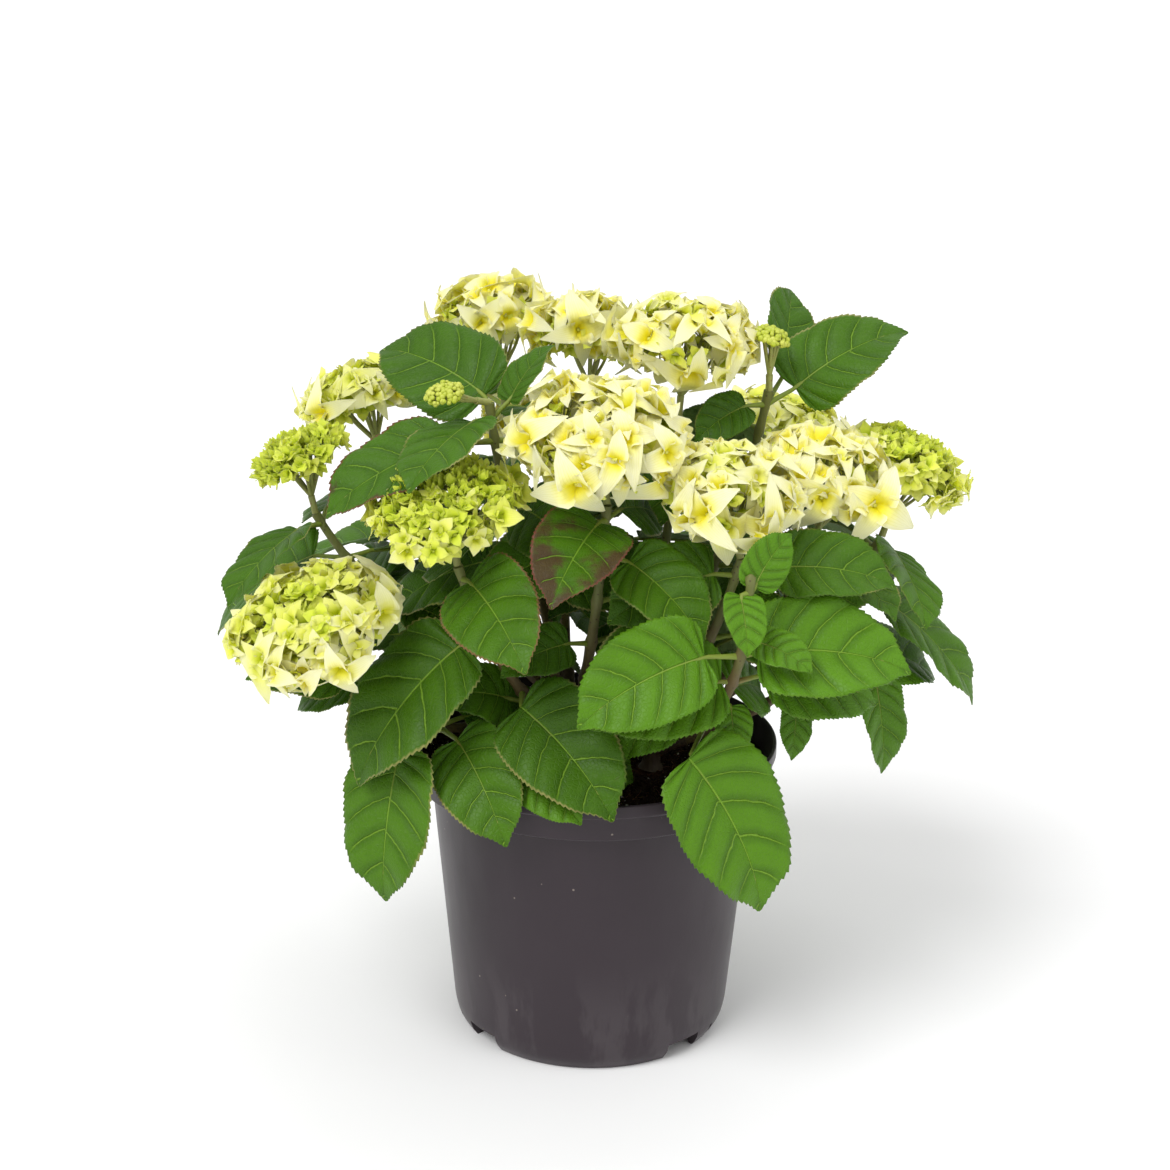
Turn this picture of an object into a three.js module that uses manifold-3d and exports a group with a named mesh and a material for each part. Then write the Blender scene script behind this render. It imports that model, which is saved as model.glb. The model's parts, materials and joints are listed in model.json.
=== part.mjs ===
// A potted bigleaf hydrangea: a five-litre nursery pot, its root ball, five woody canes, the shoots that
// leave them, the leaves of each shoot and a flower head on most shoots. Millimetres, +Z up, the pot's
// underside at Z = 0, its axis at X = Y = 0, and the side with the most open flower heads towards -Y.
import * as THREE from "three";
import { mergeVertices } from "three/addons/utils/BufferGeometryUtils.js";
import Module from "manifold-3d";

const wasm = await Module();
wasm.setup();

// Pot: a thin plastic wall, flared to a stepped collar, on a skirt with drainage notches.
const POT_HEIGHT = 190;
const RIM_RADIUS = 115;
const RIM_BAND = 8.5;
const COLLAR_HEIGHT = 24;
const COLLAR_RADIUS = 112.4;
const NECK_RADIUS = 101.8;
const FOOT_RADIUS = 81.6;
const FOOT_ROUND = [4.2, 6];
const SIDE_FOOT = [87.6, 14];
const WALL = 2.2;
const HUB_RADIUS = 46;
const FLOOR_RISE = 7;
const POT_SIDES = 34;
const NOTCH = { width: 26, height: 11, angles: [-52, 43, 128, 223] };
const SLOT = { width: 3.2, height: 9, angles: [-72, 63, 108, 243] };

// Root ball: it fills the pot to a little under the rim.
const SOIL_LEVEL = 174;
const SOIL_EDGE_DROP = 3;
const SOIL_FLAT_RADIUS = 62;
const GAP = 0.3;
const SEAM_TOLERANCES = [0.03, 0.05, 0.08, 0.12, 0.2];
const LEAST_SPACING = 0.002;

// Canes: short woody stumps that the shoots leave one above another.
const CANE_RISE = 46;
const ARM_SPACING = 7.2;
const CANE_RADIUS = [5.6, 4.4];
const CANE_FLARE = { height: 5, radius: 8 };
const ARM_LENGTH = 17;

// Shoots, leaf stalks and flower stalks.
const SHOOT_RADIUS = [3.9, 2.6];
const SHOOT_SIDES = 5;
const ELBOW = [0.7, 0.4];
const STALK_RADIUS = [1.9, 1.5];
const TOP_LEAF_DROP = 8;
const HEAD_STALK_RADIUS = 2.3;
const RAY_RADIUS = 1.3;
const RAY_SPREAD = 0.55;

// Leaves: an oval blade with a heart-shaped base and a drawn-out tip, as wide as WIDTH_SHARE of its length.
const WIDTH_SHARE = 0.76;
const THICK_SHARE = 0.017;
const BLADE = [
  { along: 0.0, wide: 0.46, back: 0.08 },
  { along: 0.17, wide: 0.93, back: 0.03 },
  { along: 0.5, wide: 0.94, back: 0 },
  { along: 0.82, wide: 0.42, back: 0 },
];
const FOLD = 14;
const BEND = 34;
const NECK_SHARE = 0.8;
const LIGHT_LEAN = { out: 0.9, front: 0.4 };
const GUARD = 1.6;

// Flower heads: a flattened ball of florets, taller above its middle than below.
const HEAD_RISE = { shut: 0.36, open: 0.6 };
const HEAD_SAG = 0.42;
const PAIR_TURN = 90;
const LEAF_LIFT = [-6, -30];
const LEAF_LONG = [68, 92];
const FLORET_PITCH = 24;
const SEPAL_TIP = [0.92, 1.08];
const FLORET_DIP = [0.8, 0.88];
const FLORET_GAP = 0.72;

const CANES = {
  left: [-33, 6],
  front: [-12, -36],
  right: [36, -14],
  back_left: [-16, 38],
  back_right: [28, 32],
};

// One row for each shoot. tip is where its leaves end, and a low shoot has leaves all the way from its cane.
// Each entry of nodes is a pair of leaves: how far up the shoot, then each leaf's turn, lift and length. Turns
// are degrees from +X towards +Y, and lifts are degrees above level. A leaf may also name how far its stalk
// swings away from the blade's turn, and its stalk's length. Leaves that an entry doesn't give grow by rule:
// opposite the first, or square to the pair above. A head has its centre, its width, and how far open it is:
// 1 is wide open, 0 is all buds, and -1 is a first tuft of buds. A shoot may name its own elbow in place of
// ELBOW: how far out and how far up its line bends, as shares of its reach.
const SHOOTS = [
  {
    name: "middle_left", cane: "front", tip: [-64, -20, 408],
    head: { at: [-89, -40, 417], wide: 25, open: -1 },
    nodes: [
      [1.0, [142, 11, 90, -40, 24], [-112, -26, 72]],
      [0.99, [172, 50, 48], [12, 52, 50]],
      [0.9, [-156, -32, 84, 20, 34], [20, -22, 70]],
      [0.72],
      [0.54],
    ],
  },
  {
    name: "front_middle", cane: "front", tip: [6, -68, 360],
    head: { at: [3, -60, 392], wide: 122, open: 1 },
    nodes: [[0.99, [-113, -24, 76, 0, 10], [60, -8, 58]], [0.82], [0.64], [0.46], [0.3]],
  },
  {
    name: "front_left", cane: "front", tip: [-80, -78, 325],
    head: { at: [-86, -74, 356], wide: 102, open: 0.25 },
    nodes: [
      [0.99, [-62, -24, 80, 0, 10], [140, -12, 66]],
      [0.66, [-157, -38, 104, 0, 18], [40, -18, 78]],
      [0.36, [-40, -36, 90, -50, 26]],
      [0.28],
    ],
  },
  {
    name: "front_right", cane: "right", tip: [84, -74, 330],
    head: { at: [74, -66, 366], wide: 92, open: 0.8 },
    nodes: [[0.92, [-171, -24, 70, 0, 13], [2, -10, 70, 0, 26]], [0.76], [0.56]],
  },
  {
    name: "young_right", cane: "right", tip: [87, -119, 333], elbow: [0.98, 0.14], head: null,
    nodes: [
      [1.0, [30, 50, 38, 0, 4], [-80, -52, 37, -75, 6]],
      [0.62, [-163, -15, 82, 0, 7]],
      [0.74, [2, -7, 92, 0, 10]],
      [0.8, [-30, -18, 38, 0, 8]],
      [0.4, [-8, -64, 106, -100, 48]],
      [0.5, [-80, -70, 35, 60, 6]],
    ],
  },
  {
    name: "right", cane: "right", tip: [132, -26, 322],
    head: { at: [137, -12, 360], wide: 98, open: 1 },
    nodes: [[0.95, [-50, -20, 60], [150, -6, 66]], [0.75], [0.55]],
  },
  {
    name: "far_right", cane: "right", tip: [178, 26, 314],
    head: { at: [194, 38, 355], wide: 90, open: 0.35 },
    nodes: [[0.95, [110, -12, 76], [-76, -26, 70, 50, 13]], [0.74, [-9, -47, 88, 0, 30], [60, 4, 60]], [0.56], [0.4]],
  },
  {
    name: "left", cane: "left", tip: [-140, -54, 246],
    head: { at: [-165, -72, 284], wide: 120, open: 0.55 },
    nodes: [[0.9, [176, -4, 62], [40, -10, 60]], [0.78, [160, -28, 54]], [0.6]],
  },
  {
    name: "far_left", cane: "left", tip: [-172, 10, 330],
    head: { at: [-180, 12, 366], wide: 62, open: 0 },
    nodes: [[0.99, [-122, -36, 70], [88, -6, 66]], [0.8, [-178, -34, 104]], [0.58], [0.4]],
  },
  {
    name: "back_left_high", cane: "back_left", tip: [-134, 62, 350],
    head: { at: [-151, 80, 386], wide: 80, open: 0.6 },
    nodes: [[0.97, [-170, -10, 74], [10, -8, 66]], [0.78], [0.58]],
  },
  {
    name: "back_top_left", cane: "back_left", tip: [-60, 120, 380],
    head: { at: [-66, 138, 424], wide: 92, open: 1 },
    nodes: [[0.96, [125, -14, 84], [-55, -8, 70]], [0.78], [0.6]],
  },
  {
    name: "top_middle", cane: "back_right", tip: [-4, 76, 382],
    head: { at: [-6, 84, 426], wide: 80, open: 1 },
    nodes: [[0.95, [165, -12, 74]], [0.74], [0.54]],
  },
  {
    name: "top_right", cane: "back_right", tip: [50, 22, 390],
    head: { at: [53, 24, 434], wide: 98, open: 0.9 },
    nodes: [[0.94, [-100, -18, 70]], [0.74], [0.54]],
  },
  {
    name: "high_right", cane: "back_right", tip: [105, 28, 406],
    head: { at: [104, 20, 440], wide: 25, open: -1 },
    nodes: [
      [1.0, [115, 42, 80, -25, 26], [12, 38, 80]],
      [0.97, [44, 18, 84], [-148, 0, 52]],
      [0.9, [-28, -8, 62]],
      [0.7],
      [0.5],
    ],
  },
  {
    name: "back_middle", cane: "back_left", tip: [-22, 170, 300],
    head: { at: [-28, 188, 340], wide: 104, open: 0.8 },
    nodes: [[0.96, [170, -18, 86], [20, -18, 84]], [0.78, [95, -34, 96]], [0.6], [0.44]],
  },
  {
    name: "back_right", cane: "back_right", tip: [112, 140, 306],
    head: { at: [124, 154, 346], wide: 106, open: 0.6 },
    nodes: [[0.96, [20, -16, 90], [140, -16, 84]], [0.78, [70, -34, 94]], [0.6], [0.44]],
  },
  {
    name: "low_left", cane: "left", tip: [-98, -70, 222], head: null,
    nodes: [[0.99, [-112, -74, 92, -25, 29]], [0.86, [-46, -46, 74]], [0.55]],
  },
  {
    name: "low_front", cane: "front", tip: [-48, -98, 207], head: null,
    nodes: [[0.98, [-40, -26, 50, 0, 6]], [0.6]],
  },
  {
    name: "low_right", cane: "right", tip: [148, -16, 254], head: null,
    nodes: [[0.99, [-74, -68, 62, 56, 30], [30, -24, 74]], [0.74, [-100, -62, 36, 0, 26]], [0.5, [40, -14, 62], [100, -20, 60]]],
  },
  {
    name: "low_back_right", cane: "back_right", tip: [76, 118, 232], head: null,
    nodes: [[0.98, [15, -44, 88], [110, -44, 88]], [0.64]],
  },
  {
    name: "low_back_left", cane: "back_left", tip: [-112, 116, 286], head: null,
    nodes: [[0.98, [165, -20, 84], [70, -24, 84]], [0.84, [110, -44, 96], [-160, -30, 84]], [0.68], [0.5]],
  },
];

const toRad = THREE.MathUtils.degToRad;
const vec = (x, y, z) => new THREE.Vector3(x, y, z);

// A direction from its turn about +Z and its lift above level, both in degrees.
function heading(turn, lift) {
  const a = toRad(turn);
  const e = toRad(lift);
  return vec(Math.cos(a) * Math.cos(e), Math.sin(a) * Math.cos(e), Math.sin(e));
}

// Seeded random numbers from 0 to 1.
function randomFrom(seed) {
  let state = seed >>> 0;
  return () => {
    state = (state + 0x6d2b79f5) >>> 0;
    let t = Math.imul(state ^ (state >>> 15), state | 1);
    t ^= t + Math.imul(t ^ (t >>> 7), t | 61);
    return ((t ^ (t >>> 14)) >>> 0) / 4294967296;
  };
}

// A closed mesh through rings of points. A ring of one point closes an end, and any other end gets a flat cap.
// Strips from the one numbered otherWay on are split along their other diagonal.
function loft(rings, otherWay = Infinity) {
  const points = rings.flat();
  const starts = [];
  let count = 0;
  for (const ring of rings) {
    starts.push(count);
    count += ring.length;
  }
  const faces = [];
  for (let i = 0; i + 1 < rings.length; i++) {
    const [a, b] = [rings[i], rings[i + 1]];
    const n = Math.max(a.length, b.length);
    for (let k = 0; k < n; k++) {
      const next = (k + 1) % n;
      const corner = (at, ring, step) => starts[at] + (ring.length > 1 ? step : 0);
      const [a0, a1] = [corner(i, a, k), corner(i, a, next)];
      const [b0, b1] = [corner(i + 1, b, k), corner(i + 1, b, next)];
      const [low, high] = k < otherWay ? [b1, a0] : [b0, a1];
      if (a.length > 1) faces.push(a0, a1, low);
      if (b.length > 1) faces.push(high, b1, b0);
    }
  }
  for (let k = 1; k + 1 < rings[0].length; k++) faces.push(0, k + 1, k);
  const end = starts.at(-1);
  for (let k = 1; k + 1 < rings.at(-1).length; k++) faces.push(end, end + k, end + k + 1);
  const geometry = new THREE.BufferGeometry().setFromPoints(points);
  geometry.setIndex(faces);
  return geometry;
}

// A ring of points round a centre, square to a direction.
function ringAt(centre, along, radius, sides) {
  const across = vec(0, 0, 1).cross(along);
  if (across.length() < 0.05) across.set(1, 0, 0);
  across.normalize();
  const over = along.clone().cross(across).normalize();
  return Array.from({ length: sides }, (_, k) => {
    const a = (2 * Math.PI * k) / sides;
    const point = centre.clone().addScaledVector(across, radius * Math.cos(a));
    return point.addScaledVector(over, radius * Math.sin(a));
  });
}

// A tapered round limb along a curve, from share t0 to share t1 of it.
function limb(curve, t0, t1, radiusAt, sides, steps) {
  const rings = [];
  for (let i = 0; i <= steps; i++) {
    const t = t0 + ((t1 - t0) * i) / steps;
    rings.push(ringAt(curve.getPoint(t), curve.getTangent(t), radiusAt(t), sides));
  }
  return loft(rings);
}

// A straight limb between two points.
function rod(from, to, r0, r1, sides) {
  const along = to.clone().sub(from).normalize();
  return loft([ringAt(from, along, r0, sides), ringAt(to, along, r1, sides)]);
}

function solidOf(geometry) {
  const corners = (geometry.index ? geometry.toNonIndexed() : geometry).getAttribute("position");
  const merged = mergeVertices(new THREE.BufferGeometry().setAttribute("position", corners), 1e-4);
  return new wasm.Manifold(
    new wasm.Mesh({
      numProp: 3,
      vertProperties: new Float32Array(merged.attributes.position.array),
      triVerts: new Uint32Array(merged.index.array),
    }),
  );
}

function geometryOf(solid) {
  const mesh = solid.getMesh();
  const geometry = new THREE.BufferGeometry();
  geometry.setAttribute("position", new THREE.BufferAttribute(new Float32Array(mesh.vertProperties), 3));
  geometry.setIndex(new THREE.BufferAttribute(new Uint32Array(mesh.triVerts), 1));
  return geometry;
}

// Whether a mesh keeps its corners apart, with each edge between just two faces.
function isClean({ vertProperties, triVerts }) {
  const cells = new Set();
  for (let i = 0; i < vertProperties.length; i += 3) {
    cells.add(vertProperties.slice(i, i + 3).map((value) => Math.round(value / LEAST_SPACING)).join());
  }
  if (cells.size < vertProperties.length / 3) return false;
  const edges = new Set();
  for (let i = 0; i < triVerts.length; i += 3) {
    for (let k = 0; k < 3; k++) edges.add(`${triVerts[i + k]} ${triVerts[i + ((k + 1) % 3)]}`);
  }
  return edges.size === triVerts.length;
}

// The largest of the bodies that fusing gives, so that no loose scrap is left, with its slivers closed up.
function fuse(geometries) {
  const rough = wasm.Manifold.union(geometries.map(solidOf)).asOriginal();
  const tries = SEAM_TOLERANCES.map((tolerance) => rough.simplify(tolerance));
  const joined = tries.find((solid) => isClean(solid.getMesh())) ?? tries[0];
  return joined.decompose().reduce((best, piece) => (piece.volume() > best.volume() ? piece : best));
}

// Pot and root ball: lathe profiles, then the notches and slots cut out of the skirt.
function potGeometry() {
  const collarFoot = POT_HEIGHT - COLLAR_HEIGHT;
  const bandFoot = POT_HEIGHT - RIM_BAND;
  const profile = [
    [0, 0],
    [HUB_RADIUS, 0],
    [HUB_RADIUS + 5, FLOOR_RISE],
    [FOOT_RADIUS - 4, FLOOR_RISE],
    [FOOT_RADIUS - 3, 0],
    [FOOT_RADIUS, 0],
    [FOOT_RADIUS + FOOT_ROUND[0], FOOT_ROUND[1]],
    SIDE_FOOT,
    [NECK_RADIUS, collarFoot],
    [COLLAR_RADIUS, collarFoot + 1.2],
    [COLLAR_RADIUS + 0.6, bandFoot],
    [RIM_RADIUS, bandFoot + 1],
    [RIM_RADIUS, POT_HEIGHT],
    [RIM_RADIUS - WALL, POT_HEIGHT],
    [COLLAR_RADIUS - WALL, collarFoot + WALL + 0.8],
    [NECK_RADIUS - WALL, collarFoot + 0.4],
    [SIDE_FOOT[0] - WALL, SIDE_FOOT[1]],
    [FOOT_RADIUS + 1, FLOOR_RISE + WALL],
    [HUB_RADIUS + 4, FLOOR_RISE + WALL],
    [HUB_RADIUS - 1, WALL],
    [0, WALL],
  ];
  const points = profile.map(([r, z]) => new THREE.Vector2(r, z));
  const body = solidOf(new THREE.LatheGeometry(points, POT_SIDES).rotateX(Math.PI / 2));
  const cutters = [NOTCH, SLOT].flatMap(({ width, height, angles }) =>
    angles.map((angle) => {
      const box = new THREE.BoxGeometry(width, 24, 2 * height);
      box.translate(0, -(FOOT_RADIUS + 2), 0);
      return solidOf(box.rotateZ(toRad(angle)));
    }),
  );
  return geometryOf(cutters.reduce((left, cutter) => left.subtract(cutter), body));
}

function soilGeometry() {
  const collarFoot = POT_HEIGHT - COLLAR_HEIGHT;
  const inside = WALL + GAP;
  const profile = [
    [0, inside],
    [HUB_RADIUS - 1.4, inside],
    [HUB_RADIUS + 3.6, FLOOR_RISE + inside],
    [FOOT_RADIUS + 0.6, FLOOR_RISE + inside],
    [SIDE_FOOT[0] - inside - 0.2, SIDE_FOOT[1] + 0.4],
    [NECK_RADIUS - inside - 0.2, collarFoot + 1.4],
    [COLLAR_RADIUS - inside - 0.2, SOIL_LEVEL - SOIL_EDGE_DROP],
    [SOIL_FLAT_RADIUS, SOIL_LEVEL],
    [0, SOIL_LEVEL],
  ];
  const points = profile.map(([r, z]) => new THREE.Vector2(r, z));
  return new THREE.LatheGeometry(points, POT_SIDES).rotateX(Math.PI / 2);
}

// The line of a shoot: it leaves its cane outwards and then turns up to its tip.
function shootCurve(shoot, order) {
  const [x, y] = CANES[shoot.cane];
  const foot = vec(x * 1.06, y * 1.06, SOIL_LEVEL + CANE_RISE - 5 - ARM_SPACING * order);
  const tip = vec(...shoot.tip);
  const reach = tip.clone().sub(foot);
  const [out, up] = shoot.elbow ?? ELBOW;
  const elbow = foot.clone().add(vec(out * reach.x, out * reach.y, up * reach.z));
  return new THREE.QuadraticBezierCurve3(foot, elbow, tip);
}

// A woody stump with its root flare, from a flat cut on the soil to its top.
function caneStump(x, y, extra, sides) {
  const top = vec(x * 1.06, y * 1.06, SOIL_LEVEL + CANE_RISE);
  const foot = vec(x, y, SOIL_LEVEL + GAP);
  const flareTop = foot.clone().lerp(top, CANE_FLARE.height / CANE_RISE);
  const up = vec(0, 0, 1);
  return loft([
    ringAt(foot, up, CANE_FLARE.radius + extra, sides),
    ringAt(flareTop, up, CANE_RADIUS[0] + extra, sides),
    ringAt(top, up, CANE_RADIUS[1] + extra, sides),
  ]);
}

const shootRadius = (t) => SHOOT_RADIUS[0] + (SHOOT_RADIUS[1] - SHOOT_RADIUS[0]) * t;

// Where one leaf stands: its stalk leaves the shoot, and its blade runs on with its face turned to the light.
function leafFrames(leaf) {
  const stalkLift = 0.45 * leaf.lift + 16;
  const stalk = leaf.stalk ?? 8 + 0.16 * leaf.long;
  const base = leaf.root.clone().addScaledVector(heading(leaf.turn + (leaf.swing ?? 0), stalkLift), stalk);
  const frames = [];
  const point = base.clone();
  let at = 0;
  for (const { along, wide, back } of [...BLADE, { along: 1, wide: 0, back: 0 }]) {
    const lift = leaf.lift + BEND * (0.5 - (at + along) / 2) * 0.9;
    point.addScaledVector(heading(leaf.turn, lift), (along - at) * leaf.long);
    at = along;
    const ahead = heading(leaf.turn, leaf.lift + BEND * (0.5 - along) * 0.9);
    const light = vec(0, -LIGHT_LEAN.front, 1);
    const out = vec(point.x, point.y, 0);
    if (out.length() > 1) light.addScaledVector(out.normalize(), LIGHT_LEAN.out);
    const face = light.addScaledVector(ahead, -light.dot(ahead)).normalize();
    const side = ahead.clone().cross(face).normalize();
    frames.push({ point: point.clone(), ahead, face, side, wide, back, along });
  }
  return { base, frames };
}

// A leaf with its stalk as one loft of four-cornered rings: left edge, upper face, right edge, lower face. The
// two strips of the lower face are split as the upper ones are, so that the faces keep apart on a twisted leaf.
function leafGeometry(leaf, thick) {
  const { base, frames } = leafFrames(leaf);
  const half = (WIDTH_SHARE * leaf.long) / 2;
  const lift = toRad(FOLD);
  const stalkAhead = base.clone().sub(leaf.root).normalize();
  const first = frames[0];
  const stalkSide = stalkAhead.clone().cross(first.face).normalize();
  const stalkFace = stalkSide.clone().cross(stalkAhead);
  const corner = (centre, side, face, r) => [
    centre.clone().addScaledVector(side, -r),
    centre.clone().addScaledVector(face, r),
    centre.clone().addScaledVector(side, r),
    centre.clone().addScaledVector(face, -r),
  ];
  const neck = leaf.root.clone().lerp(base, NECK_SHARE);
  const rings = [
    corner(leaf.root, stalkSide, stalkFace, STALK_RADIUS[0]),
    corner(neck, stalkSide, stalkFace, STALK_RADIUS[1]),
  ];
  for (const { point, ahead, face, side, wide, back, along } of frames) {
    if (wide === 0) {
      rings.push([point.clone()]);
      continue;
    }
    const w = half * wide;
    const edge = (way) =>
      point
        .clone()
        .addScaledVector(side, way * w * Math.cos(lift))
        .addScaledVector(face, w * Math.sin(lift))
        .addScaledVector(ahead, -back * leaf.long);
    const t = thick * (1 - 0.45 * along);
    const top = point.clone().addScaledVector(face, t / 2).addScaledVector(ahead, -back * 0.2 * leaf.long);
    const under = point.clone().addScaledVector(face, -t / 2).addScaledVector(ahead, -back * 0.2 * leaf.long);
    rings.push([edge(-1), top, edge(1), under]);
  }
  return loft(rings, 2);
}

// A plain list of triangles of a geometry, with the box round them, for the touch test.
function guardOf(geometry) {
  const at = geometry.getAttribute("position");
  const index = geometry.index.array;
  const triangles = [];
  for (let i = 0; i < index.length; i += 3) {
    triangles.push([0, 1, 2].map((k) => vec().fromBufferAttribute(at, index[i + k])));
  }
  geometry.computeBoundingBox();
  return { triangles, box: geometry.boundingBox.clone() };
}

// Whether the segment p-q crosses a triangle.
function crosses(p, q, [a, b, c]) {
  const d = q.clone().sub(p);
  const e1 = b.clone().sub(a);
  const e2 = c.clone().sub(a);
  const h = d.clone().cross(e2);
  const det = e1.dot(h);
  if (Math.abs(det) < 1e-9) return false;
  const s = p.clone().sub(a);
  const u = s.dot(h) / det;
  if (u < 0 || u > 1) return false;
  const k = s.cross(e1);
  const v = d.dot(k) / det;
  if (v < 0 || u + v > 1) return false;
  const w = e2.dot(k) / det;
  return w >= 0 && w <= 1;
}

function touch(one, other) {
  if (!one.box.intersectsBox(other.box)) return false;
  const anyCross = (from, to) =>
    from.triangles.some(([a, b, c]) =>
      to.triangles.some((t) => crosses(a, b, t) || crosses(b, c, t) || crosses(c, a, t)),
    );
  return anyCross(one, other) || anyCross(other, one);
}

// Whether a leaf keeps clear of the pot's rim, its wall and the soil.
function clearOfPot({ triangles }) {
  const margin = 2.5;
  const steps = [0, 0.25, 0.5, 0.75];
  return triangles.every(([a, b]) =>
    steps.every((s) => {
      const p = a.clone().lerp(b, s);
      const r = Math.hypot(p.x, p.y);
      if (p.z > POT_HEIGHT + margin || r > RIM_RADIUS + margin) return true;
      return p.z > SOIL_LEVEL + margin && r < COLLAR_RADIUS - WALL - 2 * margin;
    }),
  );
}

// How tall a head is above its middle, as a share of half its width.
function headRise(head) {
  return HEAD_RISE.shut + (HEAD_RISE.open - HEAD_RISE.shut) * Math.abs(head.open);
}

// The keep-out shape of a flower head: a flattened ball round it.
function headGuard(head) {
  const half = head.wide / 2 + 2;
  const ball = geometryOf(solidOf(new THREE.IcosahedronGeometry(1.04, 1)));
  const at = ball.getAttribute("position");
  for (let i = 0; i < at.count; i++) {
    const z = at.getZ(i);
    at.setXYZ(i, half * at.getX(i), half * at.getY(i), half * z * (z > 0 ? headRise(head) : HEAD_SAG));
  }
  return ball.applyQuaternion(headTilt(head)).translate(...head.at);
}

// A head leans out from the middle of the plant.
function headAxis(head) {
  return vec(head.at[0], head.at[1] - 40, 420).normalize();
}

function headTilt(head) {
  return new THREE.Quaternion().setFromUnitVectors(vec(0, 0, 1), headAxis(head));
}

// Grows every leaf in turn. A leaf that would touch another, a limb, a head or the pot is tried again a little
// turned, lifted and shortened, and is left out where no try is clear.
const TRIES = [
  [0, 0, 1],
  [10, 4, 1],
  [-10, 4, 1],
  [0, -12, 1],
  [0, 12, 0.95],
  [20, -6, 0.9],
  [-20, -6, 0.9],
  [34, 0, 0.85],
  [-34, 0, 0.85],
  [0, -26, 0.8],
  [0, 26, 0.75],
  [50, -8, 0.7],
  [-50, -8, 0.7],
];

function growLeaves(shoots) {
  const flowering = shoots.filter((shoot) => shoot.head);
  const heads = flowering.map((shoot) => guardOf(headGuard(shoot.head)));
  const stalkRadius = HEAD_STALK_RADIUS + GUARD;
  const stalks = flowering.map((shoot) => ({
    shoot,
    guard: guardOf(rod(shoot.curve.getPoint(1), vec(...shoot.head.at), stalkRadius, stalkRadius, 4)),
  }));
  const canes = Object.values(CANES).map(([x, y]) => guardOf(caneStump(x, y, GUARD, 5)));
  const leaves = [];
  const sameTuft = (other, root, turn) => {
    const apart = Math.abs(((turn - other.turn + 540) % 360) - 180);
    return other.root === root || (other.root.distanceTo(root) < 14 && apart > 40);
  };
  const grow = ({ shoot, root, leaf: [turn, lift, long, swing, stalk] }) => {
    for (const [turnBy, liftBy, part] of TRIES) {
      const leaf = { shoot, root, turn: turn + turnBy, lift: lift + liftBy, long: long * part, swing, stalk };
      const guard = guardOf(leafGeometry(leaf, GUARD * 2));
      const blocked =
        !clearOfPot(guard) ||
        [...heads, ...canes, shoot.bareGuard].some((other) => touch(guard, other)) ||
        leaves.some((other) => !sameTuft(other, root, leaf.turn) && touch(guard, other.guard)) ||
        [...shoots, ...stalks].some((other) => (other.shoot ?? other) !== shoot && touch(guard, other.guard));
      if (blocked) continue;
      leaves.push({ ...leaf, guard });
      return;
    }
  };
  const random = randomFrom(11);
  const between = ([low, high]) => low + (high - low) * random();
  const given = [];
  const ruled = [];
  for (const shoot of shoots) {
    let pairTurn = 0;
    for (const [share, first, second] of shoot.nodes) {
      const root = shoot.curve.getPoint(Math.min(share, 1 - TOP_LEAF_DROP / shoot.length));
      pairTurn = first ? first[0] : pairTurn + PAIR_TURN + between([-14, 14]);
      const one = [pairTurn, between(LEAF_LIFT), between(LEAF_LONG)];
      const other = [pairTurn + 180 + between([-12, 12]), between(LEAF_LIFT), between(LEAF_LONG)];
      (first ? given : ruled).push({ shoot, root, leaf: first ?? one });
      (second ? given : ruled).push({ shoot, root, leaf: second ?? other });
    }
  }
  given.forEach(grow);
  ruled.forEach(grow);
  return leaves;
}

// The ball of a head, as a grid on six sides: every second corner is the dip of a floret, the corners between
// four florets are the gaps, and the rest are tips of sepals that stand out. Where heads press together, each
// stays on its own side of the plane between them.
function headBall(head, others) {
  const half = head.wide / 2;
  const sides = Math.max(4, 2 * Math.round((half * Math.PI) / 4 / FLORET_PITCH));
  const random = randomFrom(Math.round(1000 + head.at[0] * 7 + head.at[1]));
  const tilt = headTilt(head);
  const centre = vec(...head.at);
  const walls = others.map((other) => {
    const way = vec(...other.at).sub(centre);
    const space = way.length();
    return { way: way.normalize(), reach: (space * head.wide) / (head.wide + other.wide) - GAP };
  });
  const box = new THREE.BoxGeometry(2, 2, 2, sides, sides, sides);
  box.deleteAttribute("normal");
  box.deleteAttribute("uv");
  const ball = mergeVertices(box, 1e-4);
  const at = ball.getAttribute("position");
  for (let i = 0; i < at.count; i++) {
    const corner = vec().fromBufferAttribute(at, i);
    const odd = corner.toArray().filter((c) => Math.round(((c + 1) * sides) / 2) % 2 === 1).length;
    const [low, high] = odd === 2 ? FLORET_DIP : odd === 1 ? SEPAL_TIP : [FLORET_GAP, FLORET_GAP];
    const way = vec(...corner.toArray().map((c) => Math.tan((c * Math.PI) / 4.2))).normalize();
    const rise = way.z > 0 ? headRise(head) : HEAD_SAG;
    const scale = half * (low + (high - low) * random());
    const out = vec(way.x * scale, way.y * scale, way.z * scale * rise).applyQuaternion(tilt);
    for (const wall of walls) {
      const past = out.dot(wall.way);
      if (past > wall.reach) out.multiplyScalar(wall.reach / past);
    }
    at.setXYZ(i, centre.x + out.x, centre.y + out.y, centre.z + out.z);
  }
  return ball;
}

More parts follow.
